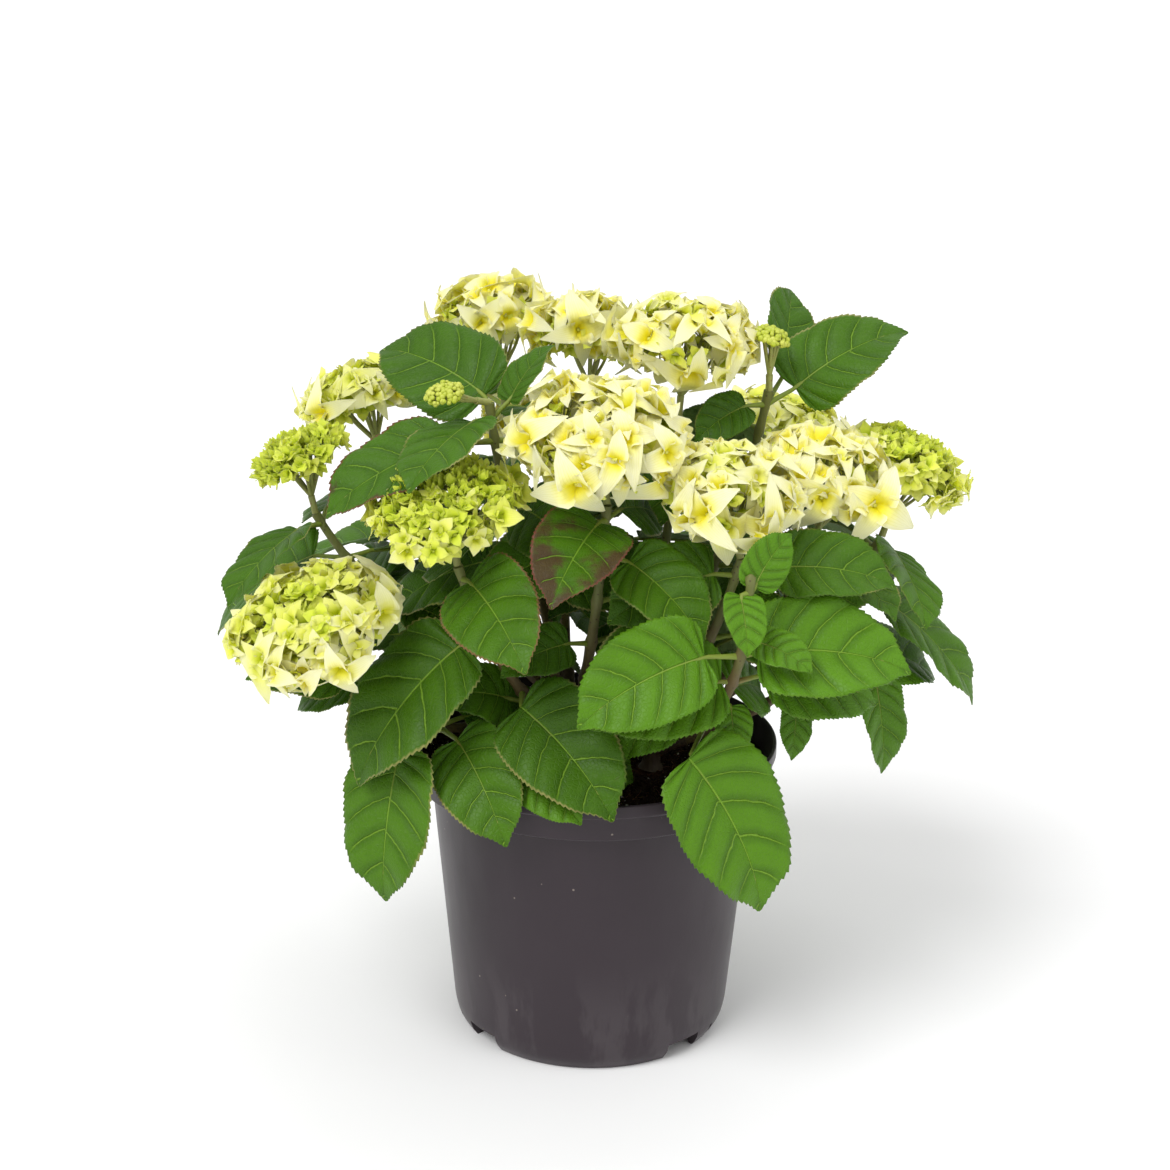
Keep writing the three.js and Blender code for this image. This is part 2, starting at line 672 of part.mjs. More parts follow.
// A flower head: its ball, its stalk and the rays that fork from it.
function headGeometries(shoot, others) {
  const { head } = shoot;
  const tilt = headTilt(head);
  const centre = vec(...head.at);
  const half = head.wide / 2;
  const tip = shoot.curve.getPoint(1);
  const leave = shoot.curve.getTangent(1);
  const from = tip.clone().addScaledVector(leave, GAP);
  const fork = from.clone().lerp(centre, 0.3);
  const up = centre.clone().sub(from).normalize();
  const stalk = loft([
    ringAt(from, leave, HEAD_STALK_RADIUS, 6),
    ringAt(fork, up, HEAD_STALK_RADIUS, 6),
    ringAt(centre, up, HEAD_STALK_RADIUS, 6),
  ]);
  const pieces = [headBall(head, others), stalk];
  const rays = head.open < 0 ? 0 : 3;
  for (let i = 0; i < rays; i++) {
    const a = (2 * Math.PI * i) / rays + 0.6;
    const out = vec(Math.cos(a), Math.sin(a), 0).multiplyScalar(RAY_SPREAD * half);
    const end = out.applyQuaternion(tilt).add(centre);
    pieces.push(rod(fork, end, RAY_RADIUS * 1.3, RAY_RADIUS, 3));
  }
  return pieces;
}

const plant = new THREE.Group();

function add(name, geometry, colour, roughness) {
  const material = new THREE.MeshStandardMaterial({ color: colour, roughness, metalness: 0 });
  const mesh = new THREE.Mesh(geometry, material);
  mesh.name = name;
  plant.add(mesh);
}

add("pot", potGeometry(), 0x4a4348, 0.55);
add("soil", soilGeometry(), 0x2a1a12, 0.95);

const orders = {};
for (const shoot of SHOOTS) {
  orders[shoot.cane] = (orders[shoot.cane] ?? -1) + 1;
  shoot.curve = shootCurve(shoot, orders[shoot.cane]);
  shoot.length = shoot.curve.getLength();
  shoot.armShare = ARM_LENGTH / shoot.length;
  const lowest = Math.min(...shoot.nodes.map(([share]) => share));
  shoot.low = shoot.name.startsWith("low");
  shoot.bareShare = shoot.low ? shoot.armShare : Math.max(lowest - 0.09, shoot.armShare + 0.1);
  const thicker = (t) => shootRadius(t) + GUARD;
  shoot.guard = guardOf(limb(shoot.curve, 0, 1, thicker, 5, 9));
  shoot.bareGuard = guardOf(limb(shoot.curve, 0, shoot.bareShare, thicker, 5, 4));
}
const leaves = growLeaves(SHOOTS);

for (const [cane, [x, y]] of Object.entries(CANES)) {
  const pieces = [caneStump(x, y, 0, 8)];
  for (const shoot of SHOOTS.filter((s) => s.cane === cane)) {
    pieces.push(limb(shoot.curve, 0, shoot.armShare, () => SHOOT_RADIUS[0], SHOOT_SIDES, 2));
  }
  add(`cane_${cane}`, geometryOf(fuse(pieces)), 0x6b5a3a, 0.8);
}

for (const shoot of SHOOTS) {
  const gapShare = GAP / shoot.length;
  if (!shoot.low) {
    const start = shoot.armShare + 1.3 * gapShare;
    const bare = limb(shoot.curve, start, shoot.bareShare, shootRadius, SHOOT_SIDES, 3);
    add(`shoot_${shoot.name}`, bare, 0x6d6a32, 0.7);
  }
  const stem = limb(shoot.curve, shoot.bareShare + 1.3 * gapShare, 1, shootRadius, SHOOT_SIDES, 5);
  const own = leaves.filter((leaf) => leaf.shoot === shoot);
  const mass = fuse([stem, ...own.map((leaf) => leafGeometry(leaf, THICK_SHARE * leaf.long))]);
  add(`leaves_${shoot.name}`, geometryOf(mass), 0x3f7a2a, 0.6);
  if (shoot.head) {
    const colour = new THREE.Color(0xa9bf3a).lerp(new THREE.Color(0xf3f0b4), Math.max(0, shoot.head.open));
    const others = SHOOTS.filter((other) => other.head && other !== shoot).map((other) => other.head);
    add(`bloom_${shoot.name}`, geometryOf(fuse(headGeometries(shoot, others))), colour, 0.7);
  }
}

export default plant;
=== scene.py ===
import json
import math

import bpy
import numpy as np
from mathutils import Matrix, Vector, noise

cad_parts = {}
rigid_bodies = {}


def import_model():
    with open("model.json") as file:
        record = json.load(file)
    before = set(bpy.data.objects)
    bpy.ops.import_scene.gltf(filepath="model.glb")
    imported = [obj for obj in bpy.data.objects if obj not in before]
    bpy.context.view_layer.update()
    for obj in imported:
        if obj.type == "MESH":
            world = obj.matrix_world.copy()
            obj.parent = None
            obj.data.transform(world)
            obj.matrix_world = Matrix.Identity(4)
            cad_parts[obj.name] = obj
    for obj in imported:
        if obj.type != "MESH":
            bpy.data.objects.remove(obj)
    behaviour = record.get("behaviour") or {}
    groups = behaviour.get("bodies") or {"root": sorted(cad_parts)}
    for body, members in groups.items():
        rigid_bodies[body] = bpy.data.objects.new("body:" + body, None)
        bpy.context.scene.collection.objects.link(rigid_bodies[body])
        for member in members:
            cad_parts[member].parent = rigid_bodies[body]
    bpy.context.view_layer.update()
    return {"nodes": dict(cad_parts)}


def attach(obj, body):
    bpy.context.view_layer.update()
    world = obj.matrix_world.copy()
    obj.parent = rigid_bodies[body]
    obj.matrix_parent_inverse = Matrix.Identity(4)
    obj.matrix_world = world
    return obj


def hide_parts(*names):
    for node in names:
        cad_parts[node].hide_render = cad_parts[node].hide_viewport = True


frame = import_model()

# Floor, light and camera
# A plain pale floor that runs on past the picture, three wide soft lights from the front left, the right and
# behind, and a camera where the photograph was taken from: 1.4 m in front of the pot, tilted 18 degrees down.
FLOOR_SIZE = 60
FLOOR_COLOURS = ((0.93, 0.93, 0.93, 1), (0.94, 0.94, 0.94, 1))
SKY_COLOUR = (1, 1, 1, 1)
SKY_STRENGTH = 0.53
LIGHT_AIM = (0, 0, 0.25)
# Each light's name, place, spread in degrees and power.
LIGHTS = (
    ("light_left", (-1.3, -1.5, 2.6), 36, 2.05),
    ("light_right", (1.9, -1.0, 1.9), 60, 0.65),
    ("light_behind", (0.4, 1.3, 2.4), 50, 0.65),
)
CAMERA_PLACE = (-0.0062, -1.401, 0.747)
CAMERA_PITCH = math.radians(18.11)
CAMERA_ROLL = math.radians(0.61)
SENSOR_WIDTH = 36
FOCAL_PIXELS = 2395
PICTURE_PIXELS = 1170


class Nodes:
    """A node tree, with short calls for the nodes that its materials or its shapes need."""

    def __init__(self, tree):
        self.tree = tree

    def fill(self, node, inputs):
        """Gives each named input of a node a value or a link."""
        for key, value in inputs.items():
            if isinstance(value, bpy.types.NodeSocket):
                self.tree.links.new(value, node.inputs[key])
            else:
                node.inputs[key].default_value = value

    def add(self, kind, inputs=None, **settings):
        """A new node, with its settings and its inputs."""
        made = self.tree.nodes.new(kind)
        for key, value in settings.items():
            setattr(made, key, value)
        self.fill(made, inputs or {})
        return made

    def math(self, operation, *values):
        return self.add("ShaderNodeMath", dict(enumerate(values)), operation=operation).outputs[0]

    def plus(self, first, second):
        return self.math("ADD", first, second)

    def minus(self, first, second):
        return self.math("SUBTRACT", first, second)

    def times(self, first, second):
        return self.math("MULTIPLY", first, second)

    def larger(self, first, second):
        return self.math("MAXIMUM", first, second)

    def vector(self, operation, inputs):
        return self.add("ShaderNodeVectorMath", inputs, operation=operation).outputs[0]

    def noise(self, vector, scale, detail=3.0, roughness=0.55):
        inputs = {"Vector": vector, "Scale": scale, "Detail": detail, "Roughness": roughness}
        return self.add("ShaderNodeTexNoise", inputs).outputs["Fac"]


class Paint(Nodes):
    """A new material and its nodes."""

    def __init__(self, name):
        self.material = bpy.data.materials.new(name)
        self.material.use_nodes = True
        super().__init__(self.material.node_tree)

    def place(self):
        return self.add("ShaderNodeTexCoord").outputs["Object"]

    def number(self, label):
        """A number that the mesh carries at each of its points."""
        return self.add("ShaderNodeAttribute", attribute_name=label).outputs["Fac"]

    def mix(self, factor, first, second):
        """A mix of two colours. On a colour mix the factor is input 0 and the colours are inputs 6 and 7."""
        return self.add("ShaderNodeMix", {0: factor, 6: first, 7: second}, data_type="RGBA").outputs[2]

    def ease(self, value, low, high, out_low=0.0, out_high=1.0):
        """Eases from out_low to out_high while the value goes from low to high."""
        inputs = {0: value, 1: low, 2: high, 3: out_low, 4: out_high}
        return self.add("ShaderNodeMapRange", inputs, interpolation_type="SMOOTHSTEP").outputs[0]

    def bump(self, height, distance, strength=1.0):
        inputs = {"Height": height, "Distance": distance, "Strength": strength}
        return self.add("ShaderNodeBump", inputs).outputs[0]

    def finish(self, inputs):
        """Gives the shader its colour, its gloss and the rest, and returns the material."""
        self.fill(self.tree.nodes["Principled BSDF"], inputs)
        return self.material


def piece_from(name, points, faces, material, smooth=True):
    """A mesh object at the origin, with its place in its points, in metres."""
    mesh = bpy.data.meshes.new(name)
    mesh.from_pydata([tuple(p) for p in points], [], [tuple(f) for f in faces])
    mesh.materials.append(material)
    mesh.polygons.foreach_set("use_smooth", [smooth] * len(mesh.polygons))
    mesh.update()
    piece = bpy.data.objects.new(name, mesh)
    bpy.context.scene.collection.objects.link(piece)
    return piece


paint = Paint("pale_floor")
floor_colour = paint.mix(paint.noise(paint.place(), 3.0), *FLOOR_COLOURS)
floor_finish = paint.finish({"Base Color": floor_colour, "Roughness": 0.9, "Specular IOR Level": 0.1})
half_floor = FLOOR_SIZE / 2
floor_corners = [(x * half_floor, y * half_floor, 0) for x, y in ((-1, -1), (1, -1), (1, 1), (-1, 1))]
floor = piece_from("floor", floor_corners, [(0, 1, 2, 3)], floor_finish, smooth=False)

sky = bpy.data.worlds.new("studio")
sky.use_nodes = True
sky.node_tree.nodes["Background"].inputs["Color"].default_value = SKY_COLOUR
sky.node_tree.nodes["Background"].inputs["Strength"].default_value = SKY_STRENGTH
bpy.context.scene.world = sky
bpy.context.scene.view_settings.view_transform = "Standard"

for light_name, light_place, light_spread, light_power in LIGHTS:
    light = bpy.data.lights.new(light_name, "SUN")
    light.angle = math.radians(light_spread)
    light.energy = light_power
    holder = bpy.data.objects.new(light_name, light)
    holder.location = light_place
    holder.rotation_euler = (Vector(LIGHT_AIM) - Vector(light_place)).to_track_quat("-Z", "Y").to_euler()
    bpy.context.scene.collection.objects.link(holder)

camera = bpy.data.objects.new("camera", bpy.data.cameras.new("camera"))
camera.data.sensor_width = SENSOR_WIDTH
camera.data.lens = FOCAL_PIXELS * SENSOR_WIDTH / PICTURE_PIXELS
ahead = Vector((0, math.cos(CAMERA_PITCH), -math.sin(CAMERA_PITCH)))
above = Vector((0, math.sin(CAMERA_PITCH), math.cos(CAMERA_PITCH)))
across = Vector((1, 0, 0))
rolled_across = across * math.cos(CAMERA_ROLL) + above * math.sin(CAMERA_ROLL)
rolled_above = above * math.cos(CAMERA_ROLL) - across * math.sin(CAMERA_ROLL)
turn = Matrix((rolled_across, rolled_above, -ahead)).transposed().to_4x4()
camera.matrix_world = Matrix.Translation(CAMERA_PLACE) @ turn
bpy.context.scene.collection.objects.link(camera)
bpy.context.scene.camera = camera

# Pot
# A five-litre nursery pot, injection moulded in charcoal plastic: a thin tapered wall with a stepped collar,
# a flat rim band, a rounded foot with four drainage notches, and a narrow slot beside each notch.
MM = 0.001
POT_SEGMENTS = 160
POT_HEIGHT = 190
RIM_RADIUS = 115
COLLAR_RADIUS = 112.4
COLLAR_FOOT = POT_HEIGHT - 24
BAND_FOOT = POT_HEIGHT - 8.5
NECK_RADIUS = 101.8
HEEL_RADIUS = 87.6
HEEL_TOP = 14
FOOT_RADIUS = 81.6
WALL = 2.2
FLOOR_RISE = 7
NOTCHES = {"width": 26, "height": 11, "turns": (-52, 43, 128, 223)}
SLOTS = {"width": 3.2, "height": 9, "turns": (-72, 63, 108, 243)}
CUT_DEPTHS = (-FOOT_RADIUS - 14, -FOOT_RADIUS + 10)
CUT_START = -5
SHARP_ANGLE = math.radians(38)
PLASTIC_COLOURS = ((0.023, 0.0145, 0.020, 1), (0.037, 0.026, 0.033, 1))
DRIP_COLOUR = (0.070, 0.058, 0.064, 1)
SPECK_COLOUR = (0.36, 0.30, 0.25, 1)


def rounded(profile, radii, steps=4):
    """A profile with each corner rounded off: radii gives the corner's cut-back, in millimetres."""
    points = [np.array(p, float) for p in profile]
    made = [points[0]]
    for before, corner, after, radius in zip(points, points[1:], points[2:], radii[1:-1]):
        back = min(radius, 0.45 * np.linalg.norm(before - corner), 0.45 * np.linalg.norm(after - corner))
        if back < 0.05:
            made.append(corner)
            continue
        start = corner + (before - corner) / np.linalg.norm(before - corner) * back
        end = corner + (after - corner) / np.linalg.norm(after - corner) * back
        for step in range(steps + 1):
            share = step / steps
            made.append(start * (1 - share) ** 2 + corner * 2 * share * (1 - share) + end * share**2)
    made.append(points[-1])
    return np.array(made)


def turned(profile, segments):
    """Points and faces of a closed solid of revolution from a profile that starts and ends on its axis."""
    inner = profile[1:-1]
    angles = np.arange(segments) * 2 * math.pi / segments
    points = [(0, 0, profile[0][1] * MM)]
    for radius, height in inner:
        points.extend((radius * MM * math.sin(a), -radius * MM * math.cos(a), height * MM) for a in angles)
    points.append((0, 0, profile[-1][1] * MM))
    last = len(points) - 1
    faces = []
    for k in range(segments):
        after = (k + 1) % segments
        faces.append((0, 1 + after, 1 + k))
        for row in range(len(inner) - 1):
            low = 1 + row * segments
            high = low + segments
            faces.append((low + k, low + after, high + after, high + k))
        top = 1 + (len(inner) - 1) * segments
        faces.append((top + k, top + after, last))
    return points, faces


def plain_mesh(piece):
    """Takes the result of a piece's modifiers as its plain mesh, and removes them."""
    evaluated = piece.evaluated_get(bpy.context.evaluated_depsgraph_get())
    mesh = bpy.data.meshes.new_from_object(evaluated)
    piece.modifiers.clear()
    piece.data = mesh
    mesh.name = piece.name


paint = Paint("charcoal_plastic")
place = paint.place()
cloud = paint.noise(place, 9.0, 4.0)
tall_place = paint.add("ShaderNodeMapping", {"Vector": place, "Scale": (26, 26, 7)}).outputs[0]
drip_noise = paint.noise(tall_place, 1.0, 5.0, 0.6)
height = paint.add("ShaderNodeSeparateXYZ", {0: place}).outputs["Z"]
drips = paint.times(paint.ease(drip_noise, 0.47, 0.56), paint.ease(height, 0.02, 0.085, 1.0, 0.0))
speck_spread = paint.add("ShaderNodeTexVoronoi", {"Vector": place, "Scale": 95.0}).outputs["Distance"]
speck_pick = paint.math("GREATER_THAN", paint.noise(place, 31.0), 0.56)
speck = paint.times(paint.ease(speck_spread, 0.05, 0.075, 1.0, 0.0), speck_pick)
colour = paint.mix(cloud, *PLASTIC_COLOURS)
colour = paint.mix(paint.times(drips, 0.55), colour, DRIP_COLOUR)
colour = paint.mix(paint.times(speck, 0.6), colour, SPECK_COLOUR)
pot_plastic = paint.finish({
    "Base Color": colour, "Roughness": paint.ease(drip_noise, 0.3, 0.7, 0.40, 0.52),
    "Specular IOR Level": 0.36, "Sheen Weight": 0.22, "Sheen Roughness": 0.30,
    "Normal": paint.bump(paint.noise(place, 700.0, 2.0), 0.00004),
})

# From the middle of the underside, out and up the wall to the rim, and back down the inside.
pot_profile = [
    (0, 0), (46, 0), (51, FLOOR_RISE), (FOOT_RADIUS - 4, FLOOR_RISE), (FOOT_RADIUS - 3, 0), (FOOT_RADIUS, 0),
    (FOOT_RADIUS + 4.2, 6), (HEEL_RADIUS, HEEL_TOP), (NECK_RADIUS, COLLAR_FOOT),
    (COLLAR_RADIUS, COLLAR_FOOT + 1.2), (COLLAR_RADIUS + 0.6, BAND_FOOT), (RIM_RADIUS, BAND_FOOT + 1),
    (RIM_RADIUS, POT_HEIGHT), (RIM_RADIUS - WALL, POT_HEIGHT),
    (COLLAR_RADIUS - WALL, COLLAR_FOOT + WALL + 0.8),
    (NECK_RADIUS - WALL, COLLAR_FOOT + 0.4), (HEEL_RADIUS - WALL, HEEL_TOP),
    (FOOT_RADIUS + 1, FLOOR_RISE + WALL), (50, FLOOR_RISE + WALL), (45, WALL), (0, WALL),
]
pot_rounding = [0, 1, 2, 2, 0.8, 0.8, 5, 8, 1.6, 1.2, 0.7, 0.9, 1.0, 0.9, 2, 2, 6, 3, 2, 1, 0]
pot_points, pot_faces = turned(rounded(pot_profile, pot_rounding), POT_SEGMENTS)
pot = piece_from("pot_shell", pot_points, pot_faces, pot_plastic)
cutter_points, cutter_faces = [], []
for opening in (NOTCHES, SLOTS):
    for opening_turn in opening["turns"]:
        face_turn = Matrix.Rotation(math.radians(opening_turn), 3, "Z")
        first = len(cutter_points)
        for x in (-opening["width"] / 2, opening["width"] / 2):
            for y in CUT_DEPTHS:
                for z in (CUT_START, opening["height"]):
                    cutter_points.append(face_turn @ Vector((x * MM, y * MM, z * MM)))
        box_faces = ((0, 1, 3, 2), (4, 6, 7, 5), (0, 4, 5, 1), (2, 3, 7, 6), (0, 2, 6, 4), (1, 5, 7, 3))
        cutter_faces.extend(tuple(first + i for i in face) for face in box_faces)
cutter = piece_from("pot_cutter", cutter_points, cutter_faces, pot_plastic, smooth=False)
cut = pot.modifiers.new("notches", "BOOLEAN")
cut.operation = "DIFFERENCE"
cut.solver = "EXACT"
cut.object = cutter
plain_mesh(pot)
bpy.data.objects.remove(cutter)
pot.data.set_sharp_from_angle(angle=SHARP_ANGLE)
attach(pot, "root")
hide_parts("pot")

# Root ball
# Dark moist peat that fills the pot to a little under its rim, lower at its edge and lumpy on top. It is one
# closed solid of revolution that keeps just clear of the pot's inner wall.
SOIL_LEVEL = 174
SOIL_EDGE_DROP = 3
SOIL_FLAT_RADIUS = 62
SOIL_PLAY = 0.3
SOIL_RINGS = 46
SOIL_SEGMENTS = 132
SOIL_LUMPS = 2.2
LUMP_LIMITS = (-1.6, 1.4)
PEAT_COLOURS = ((0.006, 0.003, 0.002, 1), (0.040, 0.019, 0.011, 1))
WARM_PEAT = (0.060, 0.022, 0.010, 1)

paint = Paint("peat")
place = paint.place()
grain = paint.noise(place, 260.0, 5.0, 0.7)
warm_patch = paint.ease(paint.noise(place, 34.0, 3.0), 0.52, 0.68, 0.0, 0.7)
colour = paint.mix(warm_patch, paint.mix(grain, *PEAT_COLOURS), WARM_PEAT)
peat = paint.finish({
    "Base Color": colour, "Roughness": 0.95, "Specular IOR Level": 0.15, "Normal": paint.bump(grain, 0.0012),
})

soil_inside = WALL + SOIL_PLAY
soil_wall = [
    (47.6, soil_inside), (49.6, FLOOR_RISE + soil_inside), (FOOT_RADIUS + 0.6, FLOOR_RISE + soil_inside),
    (HEEL_RADIUS - soil_inside - 0.2, HEEL_TOP + 0.4), (NECK_RADIUS - soil_inside - 0.2, COLLAR_FOOT + 1.4),
]
soil_top_radius = COLLAR_RADIUS - soil_inside - 0.2
edge_width = soil_top_radius - SOIL_FLAT_RADIUS
soil_profile = [(0, soil_inside)] + soil_wall
for ring in range(SOIL_RINGS):
    ring_radius = soil_top_radius * (1 - ring / SOIL_RINGS)
    ring_drop = SOIL_EDGE_DROP * max(0.0, ring_radius - SOIL_FLAT_RADIUS) / edge_width
    soil_profile.append((ring_radius, SOIL_LEVEL - ring_drop))
soil_profile.append((0, SOIL_LEVEL))
soil_points, soil_faces = turned(np.array(soil_profile), SOIL_SEGMENTS)
lumpy = []
for x, y, z in soil_points:
    if z > (SOIL_LEVEL - SOIL_EDGE_DROP - 0.5) * MM:
        inwards = min(1.0, (soil_top_radius * MM - math.hypot(x, y)) / 0.008)
        lump = noise.fractal(Vector((x, y, z)) * 70, 0.9, 2.1, 4) + 0.5 * noise.noise(Vector((x, y, 0)) * 260)
        z += max(LUMP_LIMITS[0], min(LUMP_LIMITS[1], lump * SOIL_LUMPS)) * MM * inwards
    lumpy.append((x, y, z))
soil = piece_from("root_ball", lumpy, soil_faces, peat)
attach(soil, "root")
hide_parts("soil")

# Peat crumbs, root fibres and perlite
# Loose bits that lie on the peat, each a small closed shape copied over the soil's top and turned at random:
# dark crumbs of the same peat, thin bent reddish fibres, and a few white grains of perlite.
FIBRE_COLOURS = ((0.035, 0.012, 0.006, 1), (0.22, 0.09, 0.04, 1))
PERLITE_COLOURS = ((0.35, 0.32, 0.28, 1), (0.75, 0.73, 0.70, 1))
# How many of each lie on a square metre.
CRUMB_CROWD = 60000
FIBRE_CROWD = 11000
SPECK_CROWD = 4200


def shape_tree(name, given, inputs, made):
    """A new tree of geometry nodes with named inputs, as its nodes and the sockets of its inputs."""
    tree = bpy.data.node_groups.new(name, "GeometryNodeTree")
    for label, kind in ((given, "Geometry"), *inputs, ("Finish", "Material")):
        tree.interface.new_socket(label, in_out="INPUT", socket_type=f"NodeSocket{kind}")
    tree.interface.new_socket(made, in_out="OUTPUT", socket_type="NodeSocketGeometry")
    return Nodes(tree), tree.nodes.new("NodeGroupInput").outputs


def close_tree(nodes, given, shape):
    """Ends a tree: its copies are made real and get their material."""
    real = nodes.add("GeometryNodeRealizeInstances", {"Geometry": shape}).outputs[0]
    dressed = nodes.add("GeometryNodeSetMaterial", {"Geometry": real, "Material": given["Finish"]}).outputs[0]
    nodes.add("NodeGroupOutput", {0: dressed})
    return nodes.tree


def scatter_tree(name, seed):
    """Lays copies of a small thing on the upward faces of a surface, each turned and sized at random."""
    sizes = (("Thing", "Object"), ("Per square metre", "Float"), ("Smallest", "Float"), ("Largest", "Float"))
    nodes, given = shape_tree(name, "Surface", sizes, "Scattered")
    normal = nodes.add("GeometryNodeInputNormal").outputs[0]
    upward = nodes.add("ShaderNodeSeparateXYZ", {0: normal}).outputs["Z"]
    spots = nodes.add("GeometryNodeDistributePointsOnFaces", {
        "Mesh": given["Surface"], "Selection": nodes.math("GREATER_THAN", upward, 0.6),
        "Density": given["Per square metre"], "Seed": seed,
    }).outputs["Points"]
    any_turn = nodes.add("FunctionNodeRandomValue", {
        0: (-0.5, -0.5, 0.0), 1: (0.5, 0.5, 6.28), "Seed": seed + 1,
    }, data_type="FLOAT_VECTOR").outputs[0]
    any_size = nodes.add("FunctionNodeRandomValue", {
        2: given["Smallest"], 3: given["Largest"], "Seed": seed + 2,
    }, data_type="FLOAT").outputs[1]
    thing = nodes.add("GeometryNodeObjectInfo", {"Object": given["Thing"]}).outputs["Geometry"]
    copies = nodes.add("GeometryNodeInstanceOnPoints", {
        "Points": spots, "Instance": thing, "Rotation": any_turn, "Scale": any_size,
    }).outputs[0]
    return close_tree(nodes, given, copies)


def dress_with(piece, tree, values):
    """Gives a piece a node tree with its inputs by name, and takes the result as the piece's plain mesh."""
    modifier = piece.modifiers.new(tree.name, "NODES")
    modifier.node_group = tree
    for socket in tree.interface.items_tree:
        if socket.in_out == "INPUT" and socket.name in values:
            modifier[socket.identifier] = values[socket.name]
    plain_mesh(piece)


def small_kit(name, points, faces, material):
    """A small shape that is copied many times, kept out of the scene and removed after that."""
    piece = piece_from(name, points, faces, material)
    bpy.context.scene.collection.objects.unlink(piece)
    return piece


def ball_shape(radius, rings=4, sides=6, squash=1.0, jitter=0.0, seed=0):
    """Points and faces of a small closed ball about the origin."""
    rng = np.random.default_rng(seed)
    points = [(0, 0, -radius * squash)]
    for ring in range(1, rings):
        a = math.pi * ring / rings
        for side in range(sides):
            b = 2 * math.pi * (side + 0.5 * (ring % 2)) / sides
            r = radius * (1 + jitter * rng.uniform(-1, 1))
            level = r * math.sin(a)
            points.append((level * math.cos(b), level * math.sin(b), -r * math.cos(a) * squash))
    points.append((0, 0, radius * squash))
    last = len(points) - 1
    faces = []
    for k in range(sides):
        after = (k + 1) % sides
        faces.append((0, 1 + after, 1 + k))
        for ring in range(rings - 2):
            low = 1 + ring * sides
            faces.append((low + k, low + after, low + sides + after, low + sides + k))
        top = 1 + (rings - 2) * sides
        faces.append((top + k, top + after, last))
    return points, faces


def bent_rod(length, radius, bend, sides=4, steps=4):
    """Points and faces of a thin bent rod, such as a root fibre."""
    points = []
    for step in range(steps + 1):
        share = step / steps - 0.5
        sag = bend * (0.25 - share**2) * 4
        for side in range(sides):
            a = 2 * math.pi * side / sides
            points.append((share * length, radius * math.cos(a) + sag, radius * math.sin(a)))
    faces = [tuple(range(sides))[::-1], tuple(steps * sides + k for k in range(sides))]
    for step in range(steps):
        for side in range(sides):
            after = (side + 1) % sides
            low = step * sides
            faces.append((low + side, low + after, low + sides + after, low + sides + side)[::-1])
    return points, faces


paint = Paint("root_fibre")
colour = paint.mix(paint.noise(paint.place(), 90.0), *FIBRE_COLOURS)
fibre_finish = paint.finish({"Base Color": colour, "Roughness": 0.85})
paint = Paint("perlite")
colour = paint.mix(paint.noise(paint.place(), 500.0), *PERLITE_COLOURS)
perlite = paint.finish({"Base Color": colour, "Roughness": 0.8})

crumb_kit = small_kit("crumb_kit", *ball_shape(1.0, 3, 5, 0.7, 0.3, 4), peat)
fibre_kit = small_kit("fibre_kit", *bent_rod(9.0, 0.16, 1.4), fibre_finish)
speck_kit = small_kit("speck_kit", *ball_shape(1.0, 3, 5, 0.8, 0.25, 9), perlite)
litter_rows = [
    ("peat_crumbs", scatter_tree("lay_crumbs", 3), crumb_kit, CRUMB_CROWD, 0.6, 1.9, peat),
    ("root_fibres", scatter_tree("lay_fibres", 7), fibre_kit, FIBRE_CROWD, 0.5, 1.5, fibre_finish),
    ("perlite_specks", scatter_tree("lay_specks", 5), speck_kit, SPECK_CROWD, 0.35, 0.95, perlite),
]
for litter_name, litter_tree, litter_kit, crowd, smallest, largest, litter_finish in litter_rows:
    litter = bpy.data.objects.new(litter_name, soil.data.copy())
    bpy.context.scene.collection.objects.link(litter)
    dress_with(litter, litter_tree, {
        "Thing": litter_kit, "Per square metre": crowd, "Smallest": smallest * MM, "Largest": largest * MM,
        "Finish": litter_finish,
    })
    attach(litter, "root")
    bpy.data.objects.remove(litter_kit)

# Canes and shoots
# Five woody stumps stand in the peat, and green shoots leave them one above another, turn up, and carry the
# leaves and heads. The bark is grey-brown and ridged low down and green-brown with dark pores higher up.
CANES = {
    "left": (-33, 6), "front": (-12, -36), "right": (36, -14), "back_left": (-16, 38), "back_right": (28, 32),
}
CANE_RISE = 46
CANE_SPREAD = 1.06
CANE_RADII = (5.6, 4.4)
CANE_FLARE = {"height": 5, "radius": 8}
CANE_SIDES = 20
ARM_TOP_DROP = 5
ARM_SPACING = 7.2
ARM_LENGTH = 17
ELBOW = (0.7, 0.4)
OWN_ELBOWS = {"young_right": (0.98, 0.14)}
SHOOT_RADII = (3.9, 2.6)
SHOOT_SIDES = 14
BARE_BELOW_LEAVES = 0.09
STEP_LENGTH = 5
JOINT_SWELL = {"length": 3.4, "share": 0.3}
GAP = 0.3

